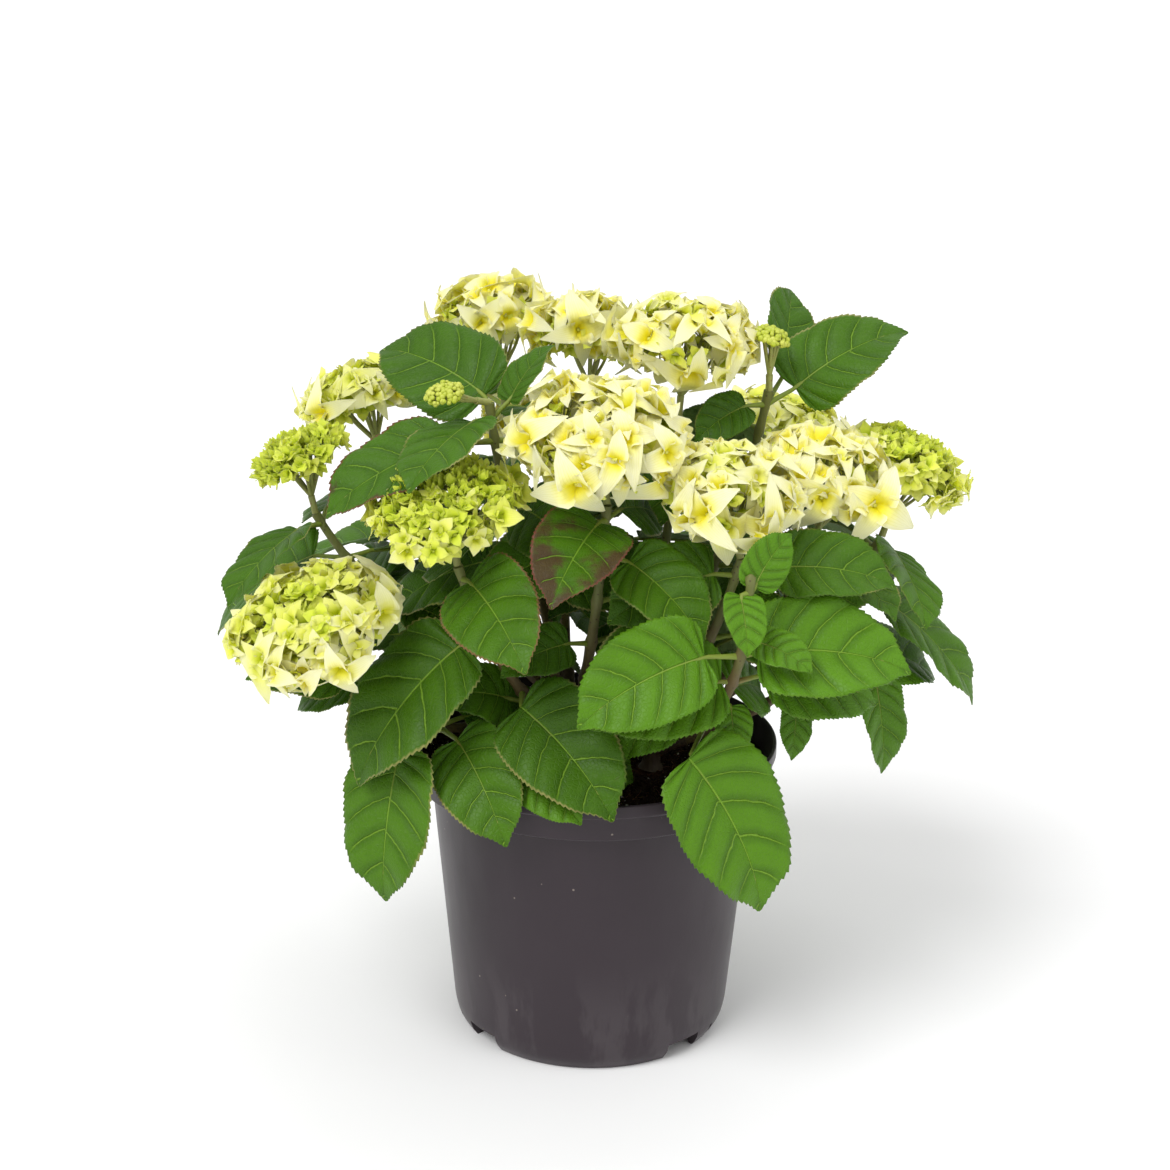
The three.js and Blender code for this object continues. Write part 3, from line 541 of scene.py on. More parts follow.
# One row for each shoot: its name, cane and tip, its flower head (centre, width, how far open) and its
# pairs of leaves. A pair has its share up the shoot and, where the photo shows its leaves, each one's turn,
# lift, length, swing and stalk.
SHOOTS = [
    ("middle_left", "front", (-64, -20, 408), ((-89, -40, 417), 25, -1), [
        (1, (142, 11, 90, -40, 24), (-112, -26, 72)), (0.99, (172, 50, 48), (12, 52, 50)),
        (0.9, (-156, -32, 84, 20, 34), (20, -22, 70)), (0.72,), (0.54,),
    ]),
    ("front_middle", "front", (6, -68, 360), ((3, -60, 392), 122, 1), [
        (0.99, (-113, -24, 76, 0, 10), (60, -8, 58)), (0.82,), (0.64,), (0.46,), (0.3,),
    ]),
    ("front_left", "front", (-80, -78, 325), ((-86, -74, 356), 102, 0.25), [
        (0.99, (-62, -24, 80, 0, 10), (140, -12, 66)), (0.66, (-157, -38, 104, 0, 18), (40, -18, 78)),
        (0.36, (-40, -36, 90, -50, 26)), (0.28,),
    ]),
    ("front_right", "right", (84, -74, 330), ((74, -66, 366), 92, 0.8), [
        (0.92, (-171, -24, 70, 0, 13), (2, -10, 70, 0, 26)), (0.76,), (0.56,),
    ]),
    ("young_right", "right", (87, -119, 333), None, [
        (1, (30, 50, 38, 0, 4), (-80, -52, 37, -75, 6)), (0.62, (-163, -15, 82, 0, 7)),
        (0.74, (2, -7, 92, 0, 10)), (0.8, (-30, -18, 38, 0, 8)), (0.4, (-8, -64, 106, -100, 48)),
        (0.5, (-80, -70, 35, 60, 6)),
    ]),
    ("right", "right", (132, -26, 322), ((137, -12, 360), 98, 1), [
        (0.95, (-50, -20, 60), (150, -6, 66)), (0.75,), (0.55,),
    ]),
    ("far_right", "right", (178, 26, 314), ((194, 38, 355), 90, 0.35), [
        (0.95, (110, -12, 76), (-76, -26, 70, 50, 13)), (0.74, (-9, -47, 88, 0, 30), (60, 4, 60)), (0.56,),
        (0.4,),
    ]),
    ("left", "left", (-140, -54, 246), ((-165, -72, 284), 120, 0.55), [
        (0.9, (176, -4, 62), (40, -10, 60)), (0.78, (160, -28, 54)), (0.6,),
    ]),
    ("far_left", "left", (-172, 10, 330), ((-180, 12, 366), 62, 0), [
        (0.99, (-122, -36, 70), (88, -6, 66)), (0.8, (-178, -34, 104)), (0.58,), (0.4,),
    ]),
    ("back_left_high", "back_left", (-134, 62, 350), ((-151, 80, 386), 80, 0.6), [
        (0.97, (-170, -10, 74), (10, -8, 66)), (0.78,), (0.58,),
    ]),
    ("back_top_left", "back_left", (-60, 120, 380), ((-66, 138, 424), 92, 1), [
        (0.96, (125, -14, 84), (-55, -8, 70)), (0.78,), (0.6,),
    ]),
    ("top_middle", "back_right", (-4, 76, 382), ((-6, 84, 426), 80, 1), [
        (0.95, (165, -12, 74)), (0.74,), (0.54,),
    ]),
    ("top_right", "back_right", (50, 22, 390), ((53, 24, 434), 98, 0.9), [
        (0.94, (-100, -18, 70)), (0.74,), (0.54,),
    ]),
    ("high_right", "back_right", (105, 28, 406), ((104, 20, 440), 25, -1), [
        (1, (115, 42, 80, -25, 26), (12, 38, 80)), (0.97, (44, 18, 84), (-148, 0, 52)),
        (0.9, (-28, -8, 62)), (0.7,), (0.5,),
    ]),
    ("back_middle", "back_left", (-22, 170, 300), ((-28, 188, 340), 104, 0.8), [
        (0.96, (170, -18, 86), (20, -18, 84)), (0.78, (95, -34, 96)), (0.6,), (0.44,),
    ]),
    ("back_right", "back_right", (112, 140, 306), ((124, 154, 346), 106, 0.6), [
        (0.96, (20, -16, 90), (140, -16, 84)), (0.78, (70, -34, 94)), (0.6,), (0.44,),
    ]),
    ("low_left", "left", (-98, -70, 222), None, [
        (0.99, (-112, -74, 92, -25, 29)), (0.86, (-46, -46, 74)), (0.55,),
    ]),
    ("low_front", "front", (-48, -98, 207), None, [
        (0.98, (-40, -26, 50, 0, 6)), (0.6,),
    ]),
    ("low_right", "right", (148, -16, 254), None, [
        (0.99, (-74, -68, 62, 56, 30), (30, -24, 74)), (0.74, (-100, -62, 36, 0, 26)),
        (0.5, (40, -14, 62), (100, -20, 60)),
    ]),
    ("low_back_right", "back_right", (76, 118, 232), None, [
        (0.98, (15, -44, 88), (110, -44, 88)), (0.64,),
    ]),
    ("low_back_left", "back_left", (-112, 116, 286), None, [
        (0.98, (165, -20, 84), (70, -24, 84)), (0.84, (110, -44, 96), (-160, -30, 84)), (0.68,), (0.5,),
    ]),
]


def heading(turn, lift):
    """A direction from its turn about +Z and its lift above level, both in degrees."""
    a, e = math.radians(turn), math.radians(lift)
    return np.array([math.cos(a) * math.cos(e), math.sin(a) * math.cos(e), math.sin(e)])


def unit(v):
    """A vector's direction, 1 long."""
    return v / np.linalg.norm(v)


class Shoot:
    """A shoot's line, from its cane outwards and up to its tip, with its pairs of leaves and its head."""

    def __init__(self, name, cane, tip, head, pairs, order):
        x, y = CANES[cane]
        height = SOIL_LEVEL + CANE_RISE - ARM_TOP_DROP - ARM_SPACING * order
        self.name, self.head, self.pairs = name, head, pairs
        self.foot = np.array([x * CANE_SPREAD, y * CANE_SPREAD, height])
        self.tip = np.array(tip, float)
        reach = self.tip - self.foot
        out, up = OWN_ELBOWS.get(name, ELBOW)
        self.elbow = self.foot + reach * (out, out, up)
        line = np.array([self.at(k / 200) for k in range(201)])
        self.length = np.linalg.norm(np.diff(line, axis=0), axis=1).sum()
        self.arm_share = ARM_LENGTH / self.length
        self.low = name.startswith("low")
        lowest = min(pair[0] for pair in pairs) - BARE_BELOW_LEAVES
        self.bare_share = self.arm_share if self.low else max(lowest, self.arm_share + 0.1)

    def at(self, t):
        return self.foot * (1 - t) ** 2 + self.elbow * 2 * t * (1 - t) + self.tip * t * t

    def ahead(self, t):
        return unit((self.elbow - self.foot) * (1 - t) + (self.tip - self.elbow) * t)

    def radius(self, t):
        return SHOOT_RADII[0] + (SHOOT_RADII[1] - SHOOT_RADII[0]) * t


cane_orders = {}
shoots = []
for shoot_name, shoot_cane, shoot_tip, shoot_head, shoot_pairs in SHOOTS:
    cane_orders[shoot_cane] = cane_orders.get(shoot_cane, -1) + 1
    shoots.append(Shoot(shoot_name, shoot_cane, shoot_tip, shoot_head, shoot_pairs, cane_orders[shoot_cane]))


def limb_tree(name, shift):
    """Turns lines into round limbs: each line's own radius, closed ends, and a rough or ridged skin."""
    sizes = (("Sides", "Int"), ("Relief", "Float"), ("Relief scale", "Float"))
    nodes, given = shape_tree(name, "Lines", sizes, "Limbs")
    stored = nodes.add("GeometryNodeInputNamedAttribute", {"Name": "limb_radius"}, data_type="FLOAT")
    radius = stored.outputs[0]
    curves = nodes.add("GeometryNodeMeshToCurve", {"Mesh": given["Lines"]}).outputs[0]
    sized = nodes.add("GeometryNodeSetCurveRadius", {"Curve": curves, "Radius": radius}).outputs[0]
    ring = nodes.add("GeometryNodeCurvePrimitiveCircle", {"Resolution": given["Sides"], "Radius": 1.0})
    tubes = nodes.add("GeometryNodeCurveToMesh", {
        "Curve": sized, "Profile Curve": ring.outputs["Curve"], "Scale": radius, "Fill Caps": True,
    }).outputs[0]
    place = nodes.add("GeometryNodeInputPosition").outputs[0]
    stretched = nodes.vector("MULTIPLY", {0: place, 1: (1.0, 1.0, 0.3)})
    shifted = nodes.vector("ADD", {0: stretched, 1: (shift, shift, shift)})
    rough = nodes.noise(shifted, given["Relief scale"], 3.0)
    lift = nodes.times(nodes.minus(rough, 0.5), given["Relief"])
    normal = nodes.add("GeometryNodeInputNormal").outputs[0]
    offset = nodes.vector("SCALE", {0: normal, "Scale": lift})
    ridged = nodes.add("GeometryNodeSetPosition", {"Geometry": tubes, "Offset": offset}).outputs[0]
    smooth = nodes.add("GeometryNodeSetShadeSmooth", {"Geometry": ridged}).outputs[0]
    return close_tree(nodes, given, smooth)


make_limbs = limb_tree("round_limbs", 1.7)


def store_numbers(mesh, label, kind, numbers):
    """Numbers that a mesh carries at its points: one for each point, or three of a vector."""
    field = "vector" if kind == "FLOAT_VECTOR" else "value"
    numbers = np.ravel(numbers).astype(np.int32 if kind == "INT" else np.float32)
    mesh.attributes.new(label, kind, "POINT").data.foreach_set(field, numbers)


def limbs_piece(name, lines, sides, relief, relief_scale, finish, nodes):
    """One piece of many limbs. Each line is its points, in millimetres, and a radius for each point."""
    points, radii, edges = [], [], []
    for line, line_radii in lines:
        first = len(points)
        points.extend(np.asarray(line) * MM)
        radii.extend(np.asarray(line_radii) * MM)
        edges.extend((first + k, first + k + 1) for k in range(len(line) - 1))
    mesh = bpy.data.meshes.new(name)
    mesh.from_pydata([tuple(p) for p in points], edges, [])
    store_numbers(mesh, "limb_radius", "FLOAT", radii)
    piece = bpy.data.objects.new(name, mesh)
    bpy.context.scene.collection.objects.link(piece)
    dress_with(piece, make_limbs, {
        "Sides": sides, "Relief": relief * MM, "Relief scale": relief_scale, "Finish": finish,
    })
    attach(piece, "root")
    if nodes:
        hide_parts(*nodes)


def bark_finish(name, colours, heights, pore_colour):
    """Bark that goes from woody to green between two heights, mottled, with small dark pores."""
    paint = Paint(name)
    place = paint.place()
    height = paint.add("ShaderNodeSeparateXYZ", {0: place}).outputs["Z"]
    green_share = paint.ease(height, *heights)
    mottle = paint.times(paint.minus(paint.noise(place, 55.0, 4.0), 0.5), 1.1)
    green_share = paint.ease(paint.plus(green_share, mottle), 0.1, 0.9)
    colour = paint.mix(green_share, *colours)
    stretched = paint.add("ShaderNodeMapping", {"Vector": place, "Scale": (420, 420, 60)}).outputs[0]
    streak = paint.noise(stretched, 1.0, 3.0)
    colour = paint.mix(paint.times(streak, 0.5), colour, pore_colour)
    pores = paint.add("ShaderNodeTexVoronoi", {"Vector": place, "Scale": 260.0}).outputs["Distance"]
    colour = paint.mix(paint.ease(pores, 0.12, 0.2, 0.75, 0.0), colour, pore_colour)
    return paint.finish({"Base Color": colour, "Roughness": 0.6, "Normal": paint.bump(streak, 0.0005)})


cane_bark = bark_finish(
    "cane_bark", ((0.085, 0.052, 0.028, 1), (0.16, 0.12, 0.045, 1)), (0.19, 0.26), (0.03, 0.018, 0.01, 1))
shoot_bark = bark_finish(
    "shoot_bark", ((0.15, 0.105, 0.035, 1), (0.17, 0.20, 0.045, 1)), (0.22, 0.34), (0.055, 0.03, 0.014, 1))


def cane_ends(x, y):
    """The foot and the top of a cane from its place on the peat."""
    foot = np.array([x, y, SOIL_LEVEL + GAP])
    return foot, np.array([x * CANE_SPREAD, y * CANE_SPREAD, SOIL_LEVEL + CANE_RISE])


cane_lines = []
for x, y in CANES.values():
    cane_foot, cane_top = cane_ends(x, y)
    line, radii = [], []
    for share in np.linspace(0, 1, 16):
        line.append(cane_foot + (cane_top - cane_foot) * share)
        flare = max(0.0, 1 - share * CANE_RISE / CANE_FLARE["height"]) ** 1.5
        taper = CANE_RADII[0] + (CANE_RADII[1] - CANE_RADII[0]) * share
        radii.append(taper + (CANE_FLARE["radius"] - CANE_RADII[0]) * flare)
    line.append(cane_top + np.array([0, 0, 1.0]))
    radii.append(CANE_RADII[1] * 0.6)
    cane_lines.append((line, radii))
for shoot in shoots:
    shares = np.linspace(0, shoot.arm_share, 5)
    radii = [SHOOT_RADII[0] * (1.12 - 0.12 * k / 4) for k in range(5)]
    cane_lines.append(([shoot.at(t) for t in shares], radii))
cane_nodes = [f"cane_{name}" for name in CANES]
limbs_piece("canes", cane_lines, CANE_SIDES, 1.5, 210.0, cane_bark, cane_nodes)

shoot_lines = []
for shoot in shoots:
    steps = max(14, int(shoot.length / STEP_LENGTH))
    shares = np.linspace(shoot.arm_share, 1, steps)
    swell = np.zeros(steps)
    for pair in shoot.pairs:
        swell += np.exp(-(((shares - pair[0]) * shoot.length / JOINT_SWELL["length"]) ** 2))
    line = [shoot.at(t) for t in shares]
    radii = [shoot.radius(t) * (0.94 + JOINT_SWELL["share"] * min(1.0, s)) for t, s in zip(shares, swell)]
    if not shoot.head:
        line.append(shoot.tip + shoot.ahead(1) * 2)
        radii.append(1.0)
    shoot_lines.append((line, radii))
shoot_nodes = [f"shoot_{shoot.name}" for shoot in shoots if not shoot.low]
limbs_piece("shoots", shoot_lines, SHOOT_SIDES, 0.5, 320.0, shoot_bark, shoot_nodes)

# Leaves
# Broad oval blades with a rounded base, a drawn-out tip and a saw-toothed edge, in pairs on short stalks.
# Each is a thin closed sheet, folded along its midrib, quilted between its side veins and turned to the
# light, and it grows where it touches neither pot, stem, head nor another leaf.
WIDTH_SHARE = 0.76
# Along the blade: the share of its length, of its half width, and how far its margin lies behind its midrib.
STATIONS = ((0.0, 0.46, 0.08), (0.17, 0.93, 0.03), (0.5, 0.94, 0.0), (0.82, 0.42, 0.0), (1.0, 0.0, 0.0))
NECK_SHARE = 0.8
FOLD = math.radians(14)
BEND = 34
BEND_PART = 0.9
LIGHT_LEAN = {"out": 0.9, "front": 0.4}
STALK_RADII = (1.9, 1.5)
STALK_LENGTH = {"least": 8, "by_leaf": 0.16}
STALK_LIFT = {"least": 16, "by_leaf": 0.45}
TOP_LEAF_DROP = 8
PAIR_TURN = 90
TURN_PLAY = (-14, 14)
TWIN_PLAY = (-12, 12)
LEAF_LIFT = (-6, -30)
LEAF_LONG = (68, 92)
TUFT_REACH = 14
TUFT_TURN = 40
GUARD = 1.6
POT_GUARD = 2.5
HEAD_GUARD = {"out": 2, "share": 1.04}
HEAD_STALK_RADIUS = 2.3
HEAD_RISE = {"shut": 0.36, "open": 0.6}
HEAD_SAG = 0.42
HEAD_LEAN = {"behind": 40, "below": 420.0}
# What is tried in turn where a leaf would touch something: added turn, added lift and share of the length.
TRIES = (
    (0, 0, 1), (10, 4, 1), (-10, 4, 1), (0, -12, 1), (0, 12, 0.95), (20, -6, 0.9), (-20, -6, 0.9),
    (34, 0, 0.85), (-34, 0, 0.85), (0, -26, 0.8), (0, 26, 0.75), (50, -8, 0.7), (-50, -8, 0.7),
)


def random_from(seed):
    """The growth rule's own seeded random numbers, from 0 to 1."""
    state = [seed & 0xFFFFFFFF]

    def draw():
        state[0] = (state[0] + 0x6D2B79F5) & 0xFFFFFFFF
        t = ((state[0] ^ (state[0] >> 15)) * (state[0] | 1)) & 0xFFFFFFFF
        t ^= (t + (((t ^ (t >> 7)) * (t | 61)) & 0xFFFFFFFF)) & 0xFFFFFFFF
        return ((t ^ (t >> 14)) & 0xFFFFFFFF) / 4294967296

    return draw


def ring_at(centre, along, radius, sides):
    """Points in a ring round a place, square to a direction."""
    across = np.cross((0.0, 0.0, 1.0), along)
    across = unit(across) if np.linalg.norm(across) >= 0.05 else np.array([1.0, 0.0, 0.0])
    over = unit(np.cross(along, across))
    angles = 2 * math.pi * np.arange(sides) / sides
    return centre + radius * (np.outer(np.cos(angles), across) + np.outer(np.sin(angles), over))


def loft(rings, other_way=99):
    """The triangles of a closed solid through rings of points, rounded as the solids' own points are."""
    points = np.float32(np.vstack(rings)).astype(float)
    starts = np.cumsum([0] + [len(ring) for ring in rings])
    faces = []
    for i in range(len(rings) - 1):
        a, b = len(rings[i]), len(rings[i + 1])
        for k in range(max(a, b)):
            after = (k + 1) % max(a, b)
            a0, a1 = (starts[i] + (k if a > 1 else 0), starts[i] + (after if a > 1 else 0))
            b0, b1 = (starts[i + 1] + (k if b > 1 else 0), starts[i + 1] + (after if b > 1 else 0))
            low, high = (b1, a0) if k < other_way else (b0, a1)
            if a > 1:
                faces.append((a0, a1, low))
            if b > 1:
                faces.append((high, b1, b0))
    faces += [(0, k + 1, k) for k in range(1, len(rings[0]) - 1)]
    end = starts[-2]
    faces += [(end, end + k, end + k + 1) for k in range(1, len(rings[-1]) - 1)]
    return points[np.array(faces)]


def guard_limb(shoot, share, steps):
    """The keep-out solid of a shoot, from its foot up to a share of its length."""
    shares = [share * k / steps for k in range(steps + 1)]
    return loft([ring_at(shoot.at(t), shoot.ahead(t), shoot.radius(t) + GUARD, 5) for t in shares])


def head_axis(head):
    """A head's own up. Each leans away from a point far below it and a little behind the plant's middle."""
    return unit(np.array([head[0][0], head[0][1] - HEAD_LEAN["behind"], HEAD_LEAN["below"]]))


def tilt_of(axis):
    """The turn that takes +Z to an axis by the shortest way, as a matrix."""
    return np.array(Vector((0, 0, 1)).rotation_difference(Vector(axis)).to_matrix())


def head_rise(head):
    """How high a head's dome stands, as a share of its half width: the more open, the higher."""
    return HEAD_RISE["shut"] + (HEAD_RISE["open"] - HEAD_RISE["shut"]) * abs(head[2])


def guard_head(head):
    """The keep-out ball round a flower head: a twenty-sided solid with each side cut in four."""
    golden = (1 + math.sqrt(5)) / 2
    corners = [
        (-1, golden, 0), (1, golden, 0), (-1, -golden, 0), (1, -golden, 0), (0, -1, golden), (0, 1, golden),
        (0, -1, -golden), (0, 1, -golden), (golden, 0, -1), (golden, 0, 1), (-golden, 0, -1), (-golden, 0, 1),
    ]
    corners = np.array([unit(np.array(c, float)) for c in corners])
    apart = np.linalg.norm(corners[:, None] - corners[None], axis=2)
    sides = [(a, b, c) for a in range(12) for b in range(a + 1, 12) for c in range(b + 1, 12)
             if max(apart[a, b], apart[b, c], apart[a, c]) < 1.1]
    triangles = []
    for a, b, c in (corners[list(side)] for side in sides):
        ab, bc, ca = unit(a + b), unit(b + c), unit(c + a)
        triangles += [(a, ab, ca), (ab, b, bc), (ca, bc, c), (ab, bc, ca)]
    ball = np.array(triangles) * HEAD_GUARD["share"]
    rise = np.where(ball[:, :, 2] > 0, head_rise(head), HEAD_SAG)
    ball = ball * (head[1] / 2 + HEAD_GUARD["out"])
    ball[:, :, 2] *= rise
    return ball @ tilt_of(head_axis(head)).T + np.array(head[0])


def crossing(first, second):
    """Whether any edge of the first triangles goes through one of the second."""
    p = first[:, (0, 1, 2)].reshape(-1, 1, 3)
    q = first[:, (1, 2, 0)].reshape(-1, 1, 3)
    a, b, c = (second[None, :, k] for k in range(3))
    way, e1, e2 = q - p, b - a, c - a
    h = np.cross(way, e2)
    det = (e1 * h).sum(2)
    level = np.abs(det) < 1e-9
    safe = np.where(level, 1.0, det)
    s = p - a
    u = (s * h).sum(2) / safe
    k = np.cross(s, np.broadcast_to(e1, s.shape))
    v = (way * k).sum(2) / safe
    w = (e2 * k).sum(2) / safe
    inside = (u >= 0) & (u <= 1) & (v >= 0) & (u + v <= 1)
    return bool((~level & inside & (w >= 0) & (w <= 1)).any())


def with_box(triangles):
    """Triangles, and the low and the high corner of the box round them."""
    corners = triangles.reshape(-1, 3)
    return triangles, corners.min(0), corners.max(0)


def touch(one, other):
    """Whether two solids, each with its box, go through each other."""
    if (other[2] < one[1]).any() or (other[1] > one[2]).any():
        return False
    return crossing(one[0], other[0]) or crossing(other[0], one[0])


def clear_of_pot(triangles):
    """Whether a leaf keeps clear of the pot's rim, its wall and the peat."""
    a, b = triangles[:, 0], triangles[:, 1]
    for share in (0, 0.25, 0.5, 0.75):
        p = a + (b - a) * share
        r = np.hypot(p[:, 0], p[:, 1])
        outside = (p[:, 2] > POT_HEIGHT + POT_GUARD) | (r > RIM_RADIUS + POT_GUARD)
        inside = (p[:, 2] > SOIL_LEVEL + POT_GUARD) & (r < COLLAR_RADIUS - WALL - 2 * POT_GUARD)
        if not (outside | inside).all():
            return False
    return True


class Leaf:
    """One leaf: where it leaves its shoot, its turn, lift and length, and its stalk's swing and length."""

    def __init__(self, shoot, root, pair, turn, lift, long, swing=0, stalk=None):
        self.shoot, self.root, self.pair = shoot, root, pair
        self.turn, self.lift, self.long = turn, lift, long
        self.stalk = STALK_LENGTH["least"] + STALK_LENGTH["by_leaf"] * long if stalk is None else stalk
        self.stalk_way = heading(turn + swing, STALK_LIFT["by_leaf"] * lift + STALK_LIFT["least"])
        self.base = root + self.stalk_way * self.stalk

    def lift_at(self, share):
        """How steeply the blade climbs at a share of its length: it droops towards its tip."""
        return self.lift + BEND * (0.5 - share) * BEND_PART

    def facing(self, point, share):
        """The blade's own directions at a share of its length: ahead, up out of its face, and to its side."""
        ahead = heading(self.turn, self.lift_at(share))
        light = np.array([0.0, -LIGHT_LEAN["front"], 1.0])
        out = np.array([point[0], point[1], 0.0])
        if np.linalg.norm(out) > 1:
            light = light + unit(out) * LIGHT_LEAN["out"]
        face = unit(light - ahead * (light @ ahead))
        return ahead, face, unit(np.cross(ahead, face))

    def guard(self):
        """The leaf's keep-out solid, with the same corners as the solid leaf but thicker."""
        half = WIDTH_SHARE * self.long / 2
        point, at = self.base.copy(), 0.0
        frames = []
        for share, wide, back in STATIONS:
            point = point + heading(self.turn, self.lift_at((at + share) / 2)) * (share - at) * self.long
            at = share
            frames.append((point, *self.facing(point, share), wide, back, share))
        stalk_side = unit(np.cross(self.stalk_way, frames[0][2]))
        stalk_face = np.cross(stalk_side, self.stalk_way)
        neck = self.root + (self.base - self.root) * NECK_SHARE
        rings = []
        for centre, r in ((self.root, STALK_RADII[0]), (neck, STALK_RADII[1])):
            rings.append(np.array([centre - stalk_side * r, centre + stalk_face * r,
                                   centre + stalk_side * r, centre - stalk_face * r]))
        for point, ahead, face, side, wide, back, share in frames:
            if wide == 0:
                rings.append(point[None])
                continue
            w, t = half * wide, GUARD * 2 * (1 - 0.45 * share)
            raised = face * w * math.sin(FOLD) - ahead * back * self.long
            spine = point - ahead * back * 0.2 * self.long
            rings.append(np.array([point - side * w * math.cos(FOLD) + raised, spine + face * t / 2,
                                   point + side * w * math.cos(FOLD) + raised, spine - face * t / 2]))
        return loft(rings, 2)


def grow_leaves():
    """Grows every leaf in turn. One that would touch something is turned, lifted or shortened a little."""
    flowering = [shoot for shoot in shoots if shoot.head]
    solid = [with_box(guard_head(shoot.head)) for shoot in flowering]
    for x, y in CANES.values():
        foot, top = cane_ends(x, y)
        flare_top = foot + (top - foot) * CANE_FLARE["height"] / CANE_RISE
        up = np.array([0.0, 0.0, 1.0])
        places = ((foot, CANE_FLARE["radius"]), (flare_top, CANE_RADII[0]), (top, CANE_RADII[1]))
        solid.append(with_box(loft([ring_at(p, up, r + GUARD, 5) for p, r in places])))
    limbs, bare = [], {}
    for shoot in shoots:
        limbs.append((shoot, with_box(guard_limb(shoot, 1, 9))))
        bare[shoot] = with_box(guard_limb(shoot, shoot.bare_share, 4))
    for shoot in flowering:
        centre, r = np.array(shoot.head[0], float), HEAD_STALK_RADIUS + GUARD
        way = unit(centre - shoot.tip)
        limbs.append((shoot, with_box(loft([ring_at(shoot.tip, way, r, 4), ring_at(centre, way, r, 4)]))))
    draw = random_from(11)

    def between(span):
        return span[0] + (span[1] - span[0]) * draw()

    given, ruled = [], []
    for shoot in shoots:
        pair_turn = 0
        for pair in shoot.pairs:
            root = shoot.at(min(pair[0], 1 - TOP_LEAF_DROP / shoot.length))
            key = (shoot.name, len(given) + len(ruled))
            pair_turn = pair[1][0] if len(pair) > 1 else pair_turn + PAIR_TURN + between(TURN_PLAY)
            one = (pair_turn, between(LEAF_LIFT), between(LEAF_LONG))
            other = (pair_turn + 180 + between(TWIN_PLAY), between(LEAF_LIFT), between(LEAF_LONG))
            for place, by_rule in ((1, one), (2, other)):
                if len(pair) > place:
                    given.append((shoot, root, key, pair[place]))
                else:
                    ruled.append((shoot, root, key, by_rule))
    grown = []
    for shoot, root, key, (turn, lift, long, *rest) in given + ruled:
        for turn_by, lift_by, part in TRIES:
            leaf = Leaf(shoot, root, key, turn + turn_by, lift + lift_by, long * part, *rest)
            guard = with_box(leaf.guard())
            if not clear_of_pot(guard[0]):
                continue
            if any(touch(guard, thing) for thing in solid + [bare[shoot]]):
                continue
            if any(owner is not shoot and touch(guard, thing) for owner, thing in limbs):
                continue

            def same_tuft(other):
                apart = abs((leaf.turn - other.turn + 540) % 360 - 180)
                near = np.linalg.norm(other.root - root) < TUFT_REACH
                return other.pair == key or (near and apart > TUFT_TURN)

            if any(not same_tuft(other) and touch(guard, other_guard) for other, other_guard in grown):
                continue
            grown.append((leaf, guard))
            break
    return [leaf for leaf, _ in grown]


leaves = grow_leaves()

BLADE_COLUMNS = (0.05, 0.2, 0.4, 0.6, 0.8, 0.93, 1.0)
BLADE_STEPS = 40
BLADE_WIDEST = 0.94
TEETH = 30
TOOTH_START = 0.08
TOOTH_HEIGHT = 0.013
TOOTH_LEAN = 0.014
SIDE_VEINS = 7.4
VEIN_START = 0.35
VEIN_STAGGER = 0.12
VEINS_PER_MAP = 10.0
PUCKER = 0.035
WAVE = 0.022
WAVES = 2.4
ARCH = (0.05, 0.22)
TIP_DROP = 0.035
TIP_START = 0.72
FOLD_ROUND = 0.02
BLADE_THICKNESS = 0.0065
# How bright a shoot's leaves are, from 0 for old and dark to 1 for young and bright.
TONES = {
    "young_right": 0.95, "low_front": 0.75, "low_right": 0.65, "right": 0.45, "far_right": 0.4,
    "low_left": 0.4,
}
PLAIN_TONE = 0.22
# The leaves whose margins and blotches are red-brown, by shoot and turn, and how strongly.
RED_LEAVES = {("front_middle", -113): 1.0, ("front_left", -62): 0.42, ("middle_left", -160): 0.5}
RED_TURN_PLAY = 16
LEAF_COLOURS = ((0.038, 0.106, 0.002, 1), (0.092, 0.235, 0.006, 1))
# Painted shade: a darker green laid beside each side vein, in place of the shade that falls in the quilted
# hollows.
VEIN_SHADE_PAINT_COLOUR = (0.020, 0.066, 0.001, 1)
NET_COLOUR = (0.11, 0.22, 0.016, 1)
VEIN_COLOUR = (0.22, 0.40, 0.035, 1)
RED_BROWN = (0.066, 0.026, 0.018, 1)
MARGIN_COLOURS = ((0.42, 0.36, 0.13, 1), (0.17, 0.05, 0.03, 1))
UNDERSIDE_COLOURS = ((0.17, 0.26, 0.085, 1), (0.30, 0.39, 0.14, 1))


def blade_outline():
    """The margin in rows from base to tip: share, place, half width, direction, and how far a tooth shows."""
    angles = np.linspace(0.03, math.pi - 0.03, 900)
    along = np.sin(angles / 2) ** 2 - 0.08 * np.sin(2 * angles) * (angles < math.pi / 2)
    wide = np.sin(angles / 2) ** 0.85 * np.cos(angles / 2) ** 1.5
    drawn = np.clip((along - 0.80) / 0.15, 0, 1)
    wide *= 1 - 0.42 * drawn**2 * (3 - 2 * drawn)
    wide = wide / wide.max() * BLADE_WIDEST * WIDTH_SHARE / 2
    arc = np.concatenate([[0], np.cumsum(np.hypot(np.diff(along), np.diff(wide)))])
    arc /= arc[-1]
    rows = np.concatenate([np.linspace(0, TOOTH_START, 4)[:-1], np.linspace(TOOTH_START, 1, 2 * TEETH + 1)])
    x, w = np.interp(rows, arc, along), np.interp(rows, arc, wide)
    way = np.stack([np.gradient(x), np.gradient(w)], axis=1)
    way /= np.linalg.norm(way, axis=1)[:, None]
    tooth = np.zeros(len(rows))
    tooth[4::2] = 1.0
    size = np.clip((rows - TOOTH_START) / 0.08, 0, 1) * np.clip((1.02 - rows) / 0.12, 0, 1)
    return rows, x, w, way, tooth * size


